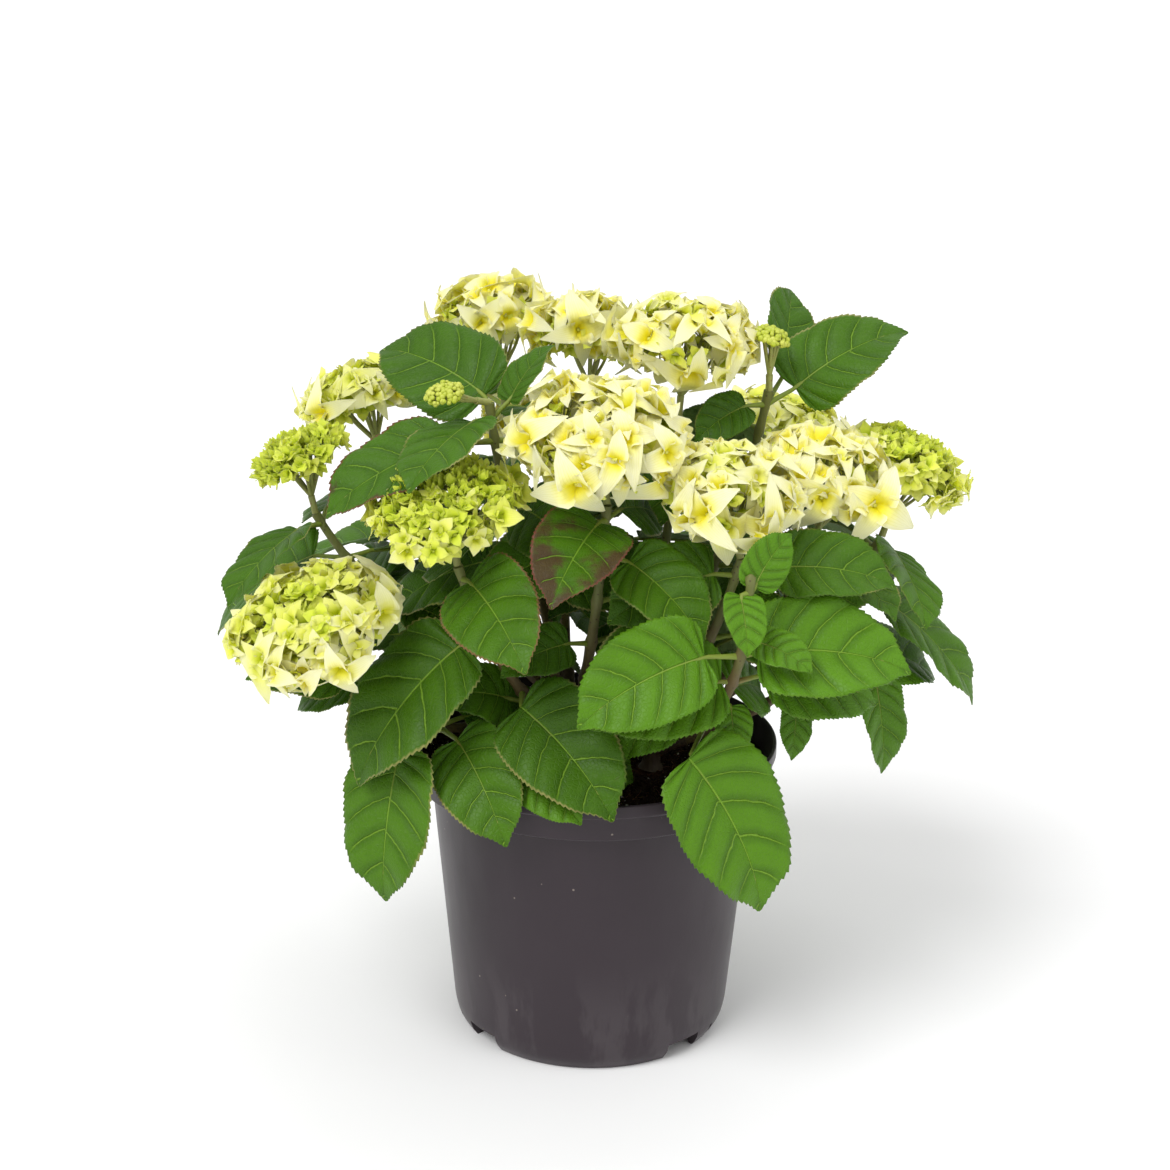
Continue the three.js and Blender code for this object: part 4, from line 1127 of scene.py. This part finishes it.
def blade_grid(leaf, outline, rng):
    """The upper face of one leaf as a grid of points, with its up directions and its place on the blade."""
    rows, margin_x, margin_w, way, tooth = outline
    sides = np.array([-v for v in BLADE_COLUMNS[::-1]] + [0.0] + list(BLADE_COLUMNS))
    v = np.abs(sides)[None]
    near_rim = v**12
    rim_x = margin_x[:, None] + (way[:, 0] * tooth * TOOTH_LEAN)[:, None] * near_rim
    rim_x = rim_x - (way[:, 1] * tooth * TOOTH_HEIGHT)[:, None] * near_rim
    tooth_w = way[:, 1] * tooth * TOOTH_LEAN + way[:, 0] * tooth * TOOTH_HEIGHT
    rim_w = margin_w[:, None] + tooth_w[:, None] * near_rim
    root_x = 0.03 * rows[:, None] + 0.96 * np.clip(margin_x, 0, None)[:, None] ** 2.0
    x = root_x + (rim_x - root_x) * (0.6 * v + 0.4 * v**2.4)
    w = rim_w * sides[None] * leaf.long
    vein = SIDE_VEINS * rows[:, None] - VEIN_START + np.where(sides > 0, VEIN_STAGGER, 0.0)[None]

    stations = np.linspace(0, 1, BLADE_STEPS + 1)
    ways = np.array([heading(leaf.turn, lift) for lift in leaf.lift_at(stations)])
    run = np.cumsum((ways[1:] + ways[:-1]) / 2, axis=0) / BLADE_STEPS
    middle = leaf.base + np.concatenate([np.zeros((1, 3)), run]) * leaf.long
    frames = [leaf.facing(point, share) for point, share in zip(middle, stations)]
    clipped = np.clip(x, 0, 1)

    def along_blade(values):
        return np.stack([np.interp(clipped, stations, values[:, k]) for k in range(3)], axis=-1)

    spine = along_blade(middle) + (x - clipped)[..., None] * ways[0] * leaf.long
    face = along_blade(np.array([frame[1] for frame in frames]))
    side = along_blade(np.array([frame[2] for frame in frames]))
    round_off = FOLD_ROUND * leaf.long
    raised = (np.sqrt(w**2 + round_off**2) - round_off) * math.sin(FOLD)
    raised = raised - rng.uniform(*ARCH) * w**2 / (WIDTH_SHARE * leaf.long / 2)
    raised = raised - TIP_DROP * leaf.long * np.clip((x - TIP_START) / (1 - TIP_START), 0, 1) ** 2
    quilt = np.abs(np.sin(math.pi * vein)) ** 0.65 - 0.45
    quilt_reach = v**0.7 * (1 - 0.55 * v**3) * np.minimum(1, margin_w[:, None] / 0.16)
    raised = raised + PUCKER * leaf.long * quilt * quilt_reach
    phases = np.where(sides > 0, *rng.uniform(0, 2 * math.pi, 2))
    wave = np.sin(2 * math.pi * WAVES * rows[:, None] + phases[None]) * np.sin(math.pi * rows[:, None])
    raised = raised + WAVE * leaf.long * v**2.5 * wave
    points = spine + side * (w * math.cos(FOLD))[..., None] + face * raised[..., None]
    return points, face, sides, vein


def closed_grid_faces(rows, columns, first):
    """Quads of a thin closed sheet: an upper grid, a lower grid after it, and the rim between them."""
    r, c = np.meshgrid(np.arange(rows - 1), np.arange(columns - 1), indexing="ij")
    a = (r * columns + c).ravel()
    under = rows * columns
    top = np.stack([a, a + 1, a + 1 + columns, a + columns], axis=1)
    low = top[:, ::-1] + under
    left = np.arange(rows - 1) * columns
    right = left + columns - 1
    front = np.arange(columns - 1)
    back = front + (rows - 1) * columns
    rims = [
        np.stack([left, left + columns, left + columns + under, left + under], axis=1),
        np.stack([right + columns, right, right + under, right + columns + under], axis=1),
        np.stack([front + 1, front, front + under, front + 1 + under], axis=1),
        np.stack([back, back + 1, back + 1 + under, back + under], axis=1),
    ]
    return np.vstack([top, low, *rims]) + first


def leaves_mesh(name, points, quads, values, places):
    """A mesh object from arrays of points (metres) and quads, with numbers and a blade map for its points."""
    mesh = bpy.data.meshes.new(name)
    mesh.vertices.add(len(points))
    mesh.vertices.foreach_set("co", np.asarray(points, np.float32).ravel())
    mesh.loops.add(quads.size)
    mesh.loops.foreach_set("vertex_index", quads.astype(np.int32).ravel())
    mesh.polygons.add(len(quads))
    mesh.polygons.foreach_set("loop_start", np.arange(0, quads.size, 4, dtype=np.int32))
    mesh.polygons.foreach_set("use_smooth", np.ones(len(quads), bool))
    mesh.update(calc_edges=True)
    for label, numbers in values.items():
        store_numbers(mesh, label, "FLOAT", numbers)
    blade_map = mesh.uv_layers.new(name="blade")
    blade_map.data.foreach_set("uv", np.asarray(places, np.float32)[quads.ravel()].ravel())
    mesh.materials.append(leaf_finish)
    piece = bpy.data.objects.new(name, mesh)
    bpy.context.scene.collection.objects.link(piece)
    return piece


paint = Paint("hydrangea_leaf")
place = paint.place()
blade_place = paint.add("ShaderNodeUVMap", uv_map="blade").outputs[0]
blade_axes = paint.add("ShaderNodeSeparateXYZ", {0: blade_place}).outputs
from_midrib = paint.math("ABSOLUTE", paint.minus(paint.times(blade_axes["X"], 2.0), 1.0))
vein_count = paint.times(blade_axes["Y"], VEINS_PER_MAP)
vein_wobble = paint.times(paint.minus(paint.noise(place, 120.0), 0.5), 0.16)
vein_part = paint.math("FRACT", paint.plus(paint.plus(vein_count, vein_wobble), 0.5))
from_vein = paint.math("ABSOLUTE", paint.minus(vein_part, 0.5))
vein_line = paint.ease(from_vein, 0.008, 0.05, 1.0, 0.0)
vein_line = paint.times(vein_line, paint.ease(from_midrib, 0.72, 1.0, 1.0, 0.15))
vein_mask = paint.larger(vein_line, paint.ease(from_midrib, 0.008, 0.034, 1.0, 0.0))
net = paint.add("ShaderNodeTexVoronoi", {"Vector": place, "Scale": 380.0}, feature="DISTANCE_TO_EDGE")
net_line = paint.ease(net.outputs["Distance"], 0.02, 0.16, 1.0, 0.0)
patches = paint.times(paint.minus(paint.noise(place, 42.0, 3.0), 0.5), 0.5)
tone = paint.plus(paint.number("tone"), patches)
colour = paint.mix(tone, *LEAF_COLOURS)
# Painted shade: the blade is darkened in a band along each side vein, weaker towards the margin, standing in
# for the shade of its quilting.
painted_vein_shade = paint.ease(from_vein, 0.03, 0.33, 0.42, 0.0)
painted_vein_shade = paint.times(painted_vein_shade, paint.ease(from_midrib, 0.7, 1.0, 1.0, 0.3))
colour = paint.mix(painted_vein_shade, colour, VEIN_SHADE_PAINT_COLOUR)
colour = paint.mix(paint.times(net_line, 0.10), colour, NET_COLOUR)
colour = paint.mix(paint.times(vein_mask, 0.62), colour, VEIN_COLOUR)
red_share = paint.number("red")
red_reach = paint.times(paint.noise(place, 45.0, 5.0, 0.65), 1.6)
red_reach = paint.plus(red_reach, paint.times(from_midrib, 0.42))
red_reach = paint.plus(red_reach, paint.times(red_share, 0.6))
red_reach = paint.plus(red_reach, paint.times(blade_axes["Y"], 0.45))
red_mask = paint.ease(red_reach, 1.74, 2.02, 0.0, 0.85)
red_mask = paint.times(red_mask, paint.ease(vein_mask, 0.2, 0.9, 1.0, 0.3))
colour = paint.mix(red_mask, colour, RED_BROWN)
margin_share = paint.ease(paint.noise(place, 18.0, 2.0), 0.42, 0.6, 0.05, 0.6)
margin_share = paint.times(margin_share, paint.ease(tone, 0.4, 0.6, 1.0, 0.1))
margin_share = paint.larger(margin_share, paint.ease(red_share, 0.25, 0.4, 0.0, 0.9))
thin_margin = paint.times(paint.ease(from_midrib, 0.95, 0.99), margin_share)
margin_colour = paint.mix(paint.ease(red_share, 0.2, 0.5), *MARGIN_COLOURS)
colour = paint.mix(thin_margin, colour, margin_colour)
under = paint.number("underside")
colour = paint.mix(under, colour, paint.mix(vein_mask, *UNDERSIDE_COLOURS))
height = paint.plus(paint.times(vein_mask, -1.0), paint.times(net_line, -0.2))
leaf_finish = paint.finish({
    "Base Color": colour, "Roughness": paint.ease(under, 0.0, 1.0, 0.42, 0.75), "Specular IOR Level": 0.2,
    "Normal": paint.bump(height, 0.0009, 0.9),
})

leaf_groups = {
    "foliage_front": ("front_middle", "front_left", "front_right", "middle_left"),
    "foliage_low": ("young_right", "low_front", "low_left", "left"),
    "foliage_right": ("right", "far_right", "low_right", "high_right", "top_right"),
    "foliage_left": ("far_left", "back_left_high", "back_top_left", "low_back_left"),
    "foliage_back": ("top_middle", "back_middle", "back_right", "low_back_right"),
}
outline = blade_outline()
leaf_random = np.random.default_rng(23)
for group, members in leaf_groups.items():
    all_points, all_quads, all_places = [], [], []
    numbers = {"tone": [], "red": [], "underside": []}
    count = 0
    for leaf in (leaf for leaf in leaves if leaf.shoot.name in members):
        points, face, sides, vein = blade_grid(leaf, outline, leaf_random)
        thick = BLADE_THICKNESS * leaf.long * (1 - 0.45 * np.abs(sides))[None, :, None]
        both = np.vstack([points.reshape(-1, 3), (points - face * thick).reshape(-1, 3)])
        all_points.append(both * MM)
        all_quads.append(closed_grid_faces(*points.shape[:2], count))
        across_blade = np.broadcast_to(0.5 + 0.5 * sides[None], vein.shape)
        place = np.stack([across_blade, vein / VEINS_PER_MAP], axis=-1).reshape(-1, 2)
        all_places.append(np.vstack([place, place]))
        leaf_tone = TONES.get(leaf.shoot.name, PLAIN_TONE) + leaf_random.uniform(-0.14, 0.14)
        plain_red = leaf_random.uniform(0, 0.22)
        reds = [share for (name, turn_by), share in RED_LEAVES.items()
                if name == leaf.shoot.name and abs(turn_by - leaf.turn) < RED_TURN_PLAY]
        numbers["tone"].append(np.full(len(both), leaf_tone))
        numbers["red"].append(np.full(len(both), max(reds, default=plain_red)))
        numbers["underside"].append(np.repeat([0.0, 1.0], len(both) // 2))
        count += len(both)
    values = {label: np.concatenate(parts) for label, parts in numbers.items()}
    blades = leaves_mesh(group, np.vstack(all_points), np.vstack(all_quads), values, np.vstack(all_places))
    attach(blades, "root")
    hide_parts(*[f"leaves_{name}" for name in members])

# Leaf stalks
# Short green stalks, a little reddish where they leave the shoot, that run on under each blade as its midrib.
# Each is a tapering round rod, and the midrib lies just inside the blade's underside.
MIDRIB_SHARE = 0.8
MIDRIB_STEPS = 9
STALK_SIDES = 8
STALK_COLOURS = ((0.14, 0.21, 0.02, 1), (0.24, 0.30, 0.035, 1))
STALK_RED = (0.20, 0.08, 0.04, 1)

paint = Paint("leaf_stalk")
place = paint.place()
cloud = paint.noise(place, 60.0, 3.0)
red_patch = paint.ease(paint.noise(place, 25.0, 2.0), 0.55, 0.75, 0.0, 0.6)
colour = paint.mix(red_patch, paint.mix(cloud, *STALK_COLOURS), STALK_RED)
stalk_finish = paint.finish({"Base Color": colour, "Roughness": 0.55, "Normal": paint.bump(cloud, 0.0003)})

stalk_lines = []
for leaf in leaves:
    line = [leaf.root + leaf.stalk_way * leaf.stalk * share for share in (0, 0.12, 0.3, 0.6, 0.9)]
    radii = [STALK_RADII[0] * part for part in (1.15, 1.1, 0.92)]
    radii += [STALK_RADII[1], STALK_RADII[1] * 0.92]
    point, step = leaf.base.copy(), MIDRIB_SHARE / MIDRIB_STEPS
    for k in range(1, MIDRIB_STEPS + 1):
        share = k * step
        point = point + heading(leaf.turn, leaf.lift_at(share - step / 2)) * step * leaf.long
        thin = STALK_RADII[1] * 0.85 * (1 - share) ** 1.2 + 0.12
        line.append(point - leaf.facing(point, share)[1] * (thin * 0.8 + 0.1))
        radii.append(thin)
    stalk_lines.append((line, radii))
limbs_piece("leaf_stalks", stalk_lines, STALK_SIDES, 0.15, 400.0, stalk_finish, [])

# Flower heads
# Flattened balls of florets, each with four pointed sepals round a bead of a true flower. The youngest are
# tight yellow-green rosettes, and the older they are, the wider and creamier their sepals.
SEPAL_LENGTHS = (6.4, 17.8)
SEPAL_HALF_WIDTH = 0.41
SEPAL_THICKNESS = {"edge": 0.012, "middle": 0.02}
SEPAL_CLOSED = math.radians(62)
SEPAL_OPEN = math.radians(20)
SEPAL_WAVE = 0.10
TIP_REACH = 0.10
HEAD_EDGE = math.radians(104)
FLORET_SPACING = 0.62
BUD_RADIUS = (1.0, 1.9)
BUD_SPACING = 3.4
LUMPS = 11
LUMP_REACH = 0.62
SPIRAL_TURN = 2.4
CLUSTERS = 9
CLUSTER_REACH = 0.52
RAY_RADII = (1.5, 0.95)
PEDICEL_RADIUS = 0.55
# The colours of a sepal's foot and tip as its floret opens, from 0 for shut to 1 for fully open.
FOOT_COLOURS = ((0.0, (0.36, 0.50, 0.006, 1)), (1.0, (0.94, 0.82, 0.018, 1)), (0.45, (0.60, 0.68, 0.008, 1)))
TIP_COLOURS = ((0.05, (0.74, 0.86, 0.05, 1)), (0.85, (1.0, 0.965, 0.42, 1)), (0.4, (0.93, 0.95, 0.14, 1)))
PALE_MARGIN = (1.0, 0.985, 0.60, 1)
SEPAL_VEIN = (0.80, 0.76, 0.10, 1)
BEAD_COLOURS = ((0.42, 0.50, 0.02, 1), (0.80, 0.78, 0.20, 1))
BEAD_SPECK = (0.60, 0.62, 0.12, 1)


def sepal_shape(rise, droop, cross, twist, waist, point, columns=4, rows=5):
    """One sepal along +X, 1 long, inner face up: it rises, cups across, and curls down at its tip."""
    rings = np.linspace(0.015, 0.985, rows + 1)
    grid, thick = [], []
    widest = (waist / (waist + point)) ** waist * (point / (waist + point)) ** point
    for share in rings:
        half = SEPAL_HALF_WIDTH * share**waist * (1 - share) ** point / widest
        for k in range(columns + 1):
            across = 2 * k / columns - 1
            y = half * across
            wavy = SEPAL_WAVE * across**2 * math.sin(11 * share + 2.5 * across)
            lift = rise * share * (1 - share) - droop * share**3 + cross * y * y + twist * y * share + wavy
            grid.append((share + 0.02 * (1 - across**2) * share + TIP_REACH * share**8, y, lift))
            thick.append(SEPAL_THICKNESS["middle"] * (1 - across**2) * math.sin(math.pi * share) ** 0.5)
    upper = np.array(grid)
    width = columns + 1
    edge = [(r == 0 or r == rows or k in (0, columns)) for r in range(rows + 1) for k in range(width)]
    lower_index, points = {}, list(upper)
    for i, on_edge in enumerate(edge):
        if on_edge:
            lower_index[i] = i
        else:
            lower_index[i] = len(points)
            points.append(upper[i] - (0, 0, thick[i] + SEPAL_THICKNESS["edge"]))
    faces, places = [], []
    for r in range(rows):
        for k in range(columns):
            a = r * width + k
            quad = (a, a + width, a + width + 1, a + 1)
            faces.append(quad)
            faces.append(tuple(lower_index[i] for i in quad[::-1]))
    for i, p in enumerate(points):
        source = i if i < len(upper) else next(j for j, low in lower_index.items() if low == i)
        places.append((rings[source // width], (source % width) / columns))
    return np.array(points), faces, places


def kit_piece(name, shape, collection, finish):
    """A small shape with its map, kept in a collection of shapes to copy and removed after that."""
    points, faces, places = shape
    piece = piece_from(name, points, faces, finish)
    layer = piece.data.uv_layers.new(name="sepal")
    for loop in piece.data.loops:
        layer.data[loop.index].uv = places[loop.vertex_index]
    piece.data.set_sharp_from_angle(angle=math.radians(70))
    bpy.context.scene.collection.objects.unlink(piece)
    collection.objects.link(piece)


def copies_tree(name):
    """Puts a shape of a kit on each point, by the point's own kind, turn and size."""
    nodes, given = shape_tree(name, "Spots", (("Kit", "Collection"), ("Size", "Float")), "Copies")

    def stored(label, kind):
        return nodes.add("GeometryNodeInputNamedAttribute", {"Name": label}, data_type=kind).outputs[0]

    shapes = nodes.add("GeometryNodeCollectionInfo", {
        "Collection": given["Kit"], "Separate Children": True, "Reset Children": True,
    }).outputs[0]
    turn = nodes.add("FunctionNodeEulerToRotation", {0: stored("spot_turn", "FLOAT_VECTOR")}).outputs[0]
    size = nodes.vector("SCALE", {0: stored("spot_size", "FLOAT_VECTOR"), "Scale": given["Size"]})
    copies = nodes.add("GeometryNodeInstanceOnPoints", {
        "Points": given["Spots"], "Instance": shapes, "Pick Instance": True,
        "Instance Index": stored("spot_kind", "INT"), "Rotation": turn, "Scale": size,
    }).outputs[0]
    return close_tree(nodes, given, copies)


place_copies = copies_tree("place_copies")


def copies_piece(name, spots, kit, finish):
    """One piece of many copies. Each spot is a place, a turned frame, a size, a kind and a tone."""
    mesh = bpy.data.meshes.new(name)
    mesh.from_pydata([tuple(spot["place"] * MM) for spot in spots], [], [])
    turns = [tuple(Matrix(spot["frame"]).transposed().to_euler()) for spot in spots]
    store_numbers(mesh, "spot_turn", "FLOAT_VECTOR", turns)
    store_numbers(mesh, "spot_size", "FLOAT_VECTOR", [spot["size"] for spot in spots])
    store_numbers(mesh, "spot_kind", "INT", [spot["kind"] for spot in spots])
    store_numbers(mesh, "tone", "FLOAT", [spot["tone"] for spot in spots])
    piece = bpy.data.objects.new(name, mesh)
    bpy.context.scene.collection.objects.link(piece)
    dress_with(piece, place_copies, {"Kit": kit, "Size": MM, "Finish": finish})
    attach(piece, "root")
    return piece


def by_tone(paint, tone, colours):
    """A colour that goes through several as a floret opens: pairs of a tone and its colour."""
    ramp = paint.add("ShaderNodeValToRGB", {"Fac": tone})
    for k, (at, colour) in enumerate(colours):
        stop = ramp.color_ramp.elements[k] if k < 2 else ramp.color_ramp.elements.new(at)
        stop.position = at
        stop.color = colour
    return ramp.outputs["Color"]


paint = Paint("sepal")
sepal_place = paint.add("ShaderNodeUVMap", uv_map="sepal").outputs[0]
sepal_axes = paint.add("ShaderNodeSeparateXYZ", {0: sepal_place}).outputs
tone = paint.number("tone")
foot_colour = by_tone(paint, tone, FOOT_COLOURS)
tip_colour = by_tone(paint, tone, TIP_COLOURS)
colour = paint.mix(paint.ease(sepal_axes["X"], 0.14, 0.74), foot_colour, tip_colour)
from_middle = paint.math("ABSOLUTE", paint.minus(sepal_axes["Y"], 0.5))
pale = paint.larger(paint.ease(from_middle, 0.28, 0.5), paint.ease(sepal_axes["X"], 0.55, 0.98))
colour = paint.mix(paint.times(pale, paint.ease(tone, 0.2, 0.85, 0.05, 0.75)), colour, PALE_MARGIN)
line_part = paint.math("FRACT", paint.times(sepal_axes["Y"], 9.0))
line_mask = paint.ease(paint.math("ABSOLUTE", paint.minus(line_part, 0.5)), 0.02, 0.14, 0.30, 0.0)
colour = paint.mix(line_mask, colour, SEPAL_VEIN)
sepal_finish = paint.finish({
    "Base Color": colour, "Roughness": 0.55, "Specular IOR Level": 0.25, "Subsurface Weight": 0.3,
    "Subsurface Radius": (1.0, 0.9, 0.15), "Subsurface Scale": 0.006,
    "Normal": paint.bump(paint.times(line_mask, -1.0), 0.0003, 0.7),
})

paint = Paint("flower_bead")
place = paint.place()
colour = paint.mix(paint.number("tone"), *BEAD_COLOURS)
colour = paint.mix(paint.ease(paint.noise(place, 700.0), 0.5, 0.7, 0.0, 0.4), colour, BEAD_SPECK)
bead_finish = paint.finish({"Base Color": colour, "Roughness": 0.45})

sepal_kit = bpy.data.collections.new("sepal_kit")
for kit_name, kit_shape in (
    ("sepal_0_bud", sepal_shape(-0.1, -0.25, 0.6, 0.0, 0.45, 0.6, 2, 3)),
    ("sepal_1_rosette", sepal_shape(0.35, 0.25, 0.4, 0.1, 0.50, 0.7, 2, 4)),
    ("sepal_2_cupped", sepal_shape(0.70, 0.25, 0.9, 0.2, 0.42, 0.60)),
    ("sepal_3_open", sepal_shape(1.05, 0.50, 1.2, -0.3, 0.40, 0.60, 4, 6)),
    ("sepal_4_drooping", sepal_shape(0.95, 0.95, 1.1, 0.4, 0.42, 0.66, 4, 6)),
):
    kit_piece(kit_name, kit_shape, sepal_kit, sepal_finish)
bead_kit = bpy.data.collections.new("bead_kit")
bead_points, bead_faces = ball_shape(1.0, 5, 7, 0.9)
kit_piece("bead_0", (bead_points, bead_faces, [(0.5, 0.5)] * len(bead_points)), bead_kit, bead_finish)


def frame_from(ahead, up):
    """Rows X, Y and Z of a frame whose X goes ahead and whose Z is up."""
    x = unit(ahead)
    y = unit(np.cross(up, x))
    return np.array([x, y, np.cross(x, y)])


sepal_spots, bead_spots, pedicel_lines, ray_lines = [], [], [], []


def add_bead(place, axis, radius, tone):
    """A true flower or a young bud, as a small ball."""
    side = unit(np.cross(axis, (0.3, 0.5, 0.81)))
    bead_spots.append({
        "place": place, "frame": frame_from(side, axis), "size": (radius,) * 3, "kind": 0, "tone": tone,
    })


def add_floret(place, axis, openness, size, rng):
    """Four sepals round a bead: cupped together while young, and spread flat or drooping once open."""
    first = rng.uniform(0, math.pi / 2)
    side = unit(np.cross(axis, (0.31, 0.52, 0.79)))
    over = np.cross(axis, side)
    rise = SEPAL_CLOSED + (SEPAL_OPEN - SEPAL_CLOSED) * openness**0.75
    for k in range(4):
        a = first + k * math.pi / 2 + rng.uniform(-0.14, 0.14)
        radial = side * math.cos(a) + over * math.sin(a)
        up_by = rise + rng.uniform(-0.28, 0.28) + (0.08 if k % 2 else -0.04)
        ahead = radial * math.cos(up_by) + axis * math.sin(up_by)
        up = axis * math.cos(up_by) - radial * math.sin(up_by)
        long = size * rng.uniform(0.82, 1.12)
        wide = long * rng.uniform(0.84, 1.1)
        if size < 12:
            kind = 0 if size < 7.5 else 1
        else:
            kind = 2 if openness < 0.45 else 4 if ahead[2] < -0.1 or rng.uniform() < 0.3 else 3
        sepal_spots.append({
            "place": place + radial * 0.04 * size + axis * (0.01 * size * (k % 2)),
            "frame": frame_from(ahead, up), "size": (long, wide, long), "kind": kind,
            "tone": float(np.clip(openness + rng.uniform(-0.1, 0.1), 0, 1)),
        })
    if size > 8:
        add_bead(place + axis * 0.06 * size, axis, 0.8 + 0.03 * size, 0.2 + 0.5 * openness)


def grow_head(shoot):
    """A head's rays, its pedicels, and its florets in rings from the top to below the middle."""
    centre, wide, opened = np.array(shoot.head[0], float), shoot.head[1], shoot.head[2]
    rng = np.random.default_rng(int(4000 + 7 * centre[0] + centre[1]))
    turn_to = tilt_of(head_axis(shoot.head))
    half = wide / 2
    tuft = opened < 0
    start = shoot.tip + shoot.ahead(1) * GAP
    fork = start + (centre - start) * 0.3
    middle = start + (fork - start) * 0.5
    stalk_radii = [HEAD_STALK_RADIUS, HEAD_STALK_RADIUS * 0.92, HEAD_STALK_RADIUS]
    ray_lines.append(([start, middle, fork], stalk_radii))

    def on_dome(from_top, azimuth, share):
        """A place in the head by its angle from the top, its angle round, and its share of the reach."""
        level = math.sin(from_top)
        way = np.array([level * math.cos(azimuth), level * math.sin(azimuth), math.cos(from_top)])
        rise = head_rise(shoot.head) if way[2] > 0 else HEAD_SAG
        place = centre + turn_to @ (way * (1, 1, rise) * half * share)
        return place, unit(turn_to @ unit(way / (1, 1, rise + 0.12)))

    knots = []
    for k in range(CLUSTERS):
        from_top = math.radians(18 + 66 * math.sqrt((k + 0.5) / CLUSTERS))
        knot, _ = on_dome(from_top, SPIRAL_TURN * k + 0.6, CLUSTER_REACH)
        knots.append(knot)
        bend = fork + (knot - fork) * 0.45 - turn_to @ np.array([0, 0, 0.05 * half])
        ray_lines.append(([fork, bend, knot], [RAY_RADII[0], RAY_RADII[1] * 1.1, RAY_RADII[1]]))

    def hold(place):
        """A pedicel from the nearest knot to a floret."""
        knot = min(knots, key=lambda k: np.linalg.norm(k - place))
        bend = (knot + place) / 2 - turn_to @ np.array([0, 0, 0.04 * half])
        radii = [PEDICEL_RADIUS * 1.2, PEDICEL_RADIUS, PEDICEL_RADIUS * 1.1]
        pedicel_lines.append(([knot, bend, place], radii))

    lumps = []
    for k in range(LUMPS):
        from_top = math.acos(1 - (1 - math.cos(HEAD_EDGE)) * (k + 0.5) / LUMPS)
        lumps.append((from_top + rng.uniform(-0.1, 0.1), SPIRAL_TURN * k + rng.uniform(-0.2, 0.2)))

    def valley(from_top, azimuth):
        """How far a place lies from the middle of its lump, from 0 to 1."""
        nearness = max(
            math.cos(from_top) * math.cos(a) + math.sin(from_top) * math.sin(a) * math.cos(azimuth - b)
            for a, b in lumps)
        return min(1.0, math.acos(max(-1, min(1, nearness))) / LUMP_REACH)

    down = 0.0
    ring = 0
    while down < HEAD_EDGE:
        share = down / HEAD_EDGE
        openness = opened * 1.22 + (share - 0.5) * 0.85 * (1 - 0.45 * opened) - 0.12
        openness = float(np.clip(openness, 0.03, 1.0))
        size = SEPAL_LENGTHS[0] + (SEPAL_LENGTHS[1] - SEPAL_LENGTHS[0]) * openness**0.95
        size = min(size, 0.42 * half + 1)
        spread = size * math.cos(SEPAL_CLOSED * (1 - openness**0.75))
        step = BUD_SPACING if tuft else max(5.4, (2 * spread + 3) * FLORET_SPACING)
        around = 2 * math.pi * half * math.sin(down)
        count = max(1, int(round(around / step))) if ring else 1
        for k in range(count):
            azimuth = 2 * math.pi * (k + 0.5 * (ring % 2)) / count + rng.uniform(-0.12, 0.12)
            lean = down + rng.uniform(-0.11, 0.11) * (ring > 0)
            if tuft:
                place, normal = on_dome(lean, azimuth, rng.uniform(0.72, 0.93))
                add_bead(place, normal, rng.uniform(1.3, 2.2), rng.uniform(0.0, 0.45))
                hold(place)
                continue
            low = valley(lean, azimuth)
            here = float(np.clip(openness + rng.normal(0, 0.12) - 0.25 * low * (1 - openness), 0.02, 1.0))
            own = size * rng.uniform(0.7, 1.15)
            sunk = 0.95 - 0.20 * (1 - here) * min(1, own / 20) - 0.12 * here - 0.30 * low**2
            place, normal = on_dome(lean, azimuth, sunk + rng.uniform(-0.10, 0.05))
            normal = unit(normal + rng.uniform(-0.5, 0.5, 3) - np.array([0, 0, 0.25 * share * here]))
            if low > 0.72 and rng.uniform() < 0.5:
                here, own = rng.uniform(0.1, 0.4), rng.uniform(6.5, 11.0)
            add_floret(place, normal, here, own, rng)
            hold(place)
            beside = azimuth + math.pi / max(1, count)
            under, under_normal = on_dome(lean + step / half / 2, beside, sunk - 0.1)
            if here > 0.3:
                add_floret(under, under_normal, rng.uniform(0.1, 0.35), rng.uniform(7.0, 11.0), rng)
                hold(under)
            else:
                add_bead(under, under_normal, rng.uniform(*BUD_RADIUS), rng.uniform(0.0, 0.5))
        down += step / half
        ring += 1


HEAD_BANDS = (("front", -200, -45), ("middle", -45, 60), ("back", 60, 300))
for band, nearest, farthest in HEAD_BANDS:
    bearers = [shoot for shoot in shoots if shoot.head and nearest <= shoot.head[0][1] < farthest]
    for shoot in bearers:
        grow_head(shoot)
    sepals = copies_piece(f"sepals_{band}", sepal_spots, sepal_kit, sepal_finish)
    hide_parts(*[f"bloom_{shoot.name}" for shoot in bearers])
    sepal_spots.clear()
copies_piece("flower_beads", bead_spots, bead_kit, bead_finish)
for kit in (sepal_kit, bead_kit):
    for piece in list(kit.objects):
        bpy.data.objects.remove(piece)
    bpy.data.collections.remove(kit)

# Flower stalks and pedicels
# Under each head a pale green stalk forks into thin rays, and each ray ends in a knot from which a hair-thin
# pedicel runs to every floret and bead. They are round rods, rough like the shoots' green bark.
head_stalk_finish = bark_finish(
    "flower_stalk", ((0.27, 0.33, 0.09, 1), (0.36, 0.43, 0.13, 1)), (0.25, 0.45), (0.24, 0.11, 0.05, 1))
limbs_piece("flower_stalks", ray_lines, 8, 0.15, 400.0, head_stalk_finish, [])
limbs_piece("pedicels", pedicel_lines, 5, 0.0, 400.0, head_stalk_finish, [])
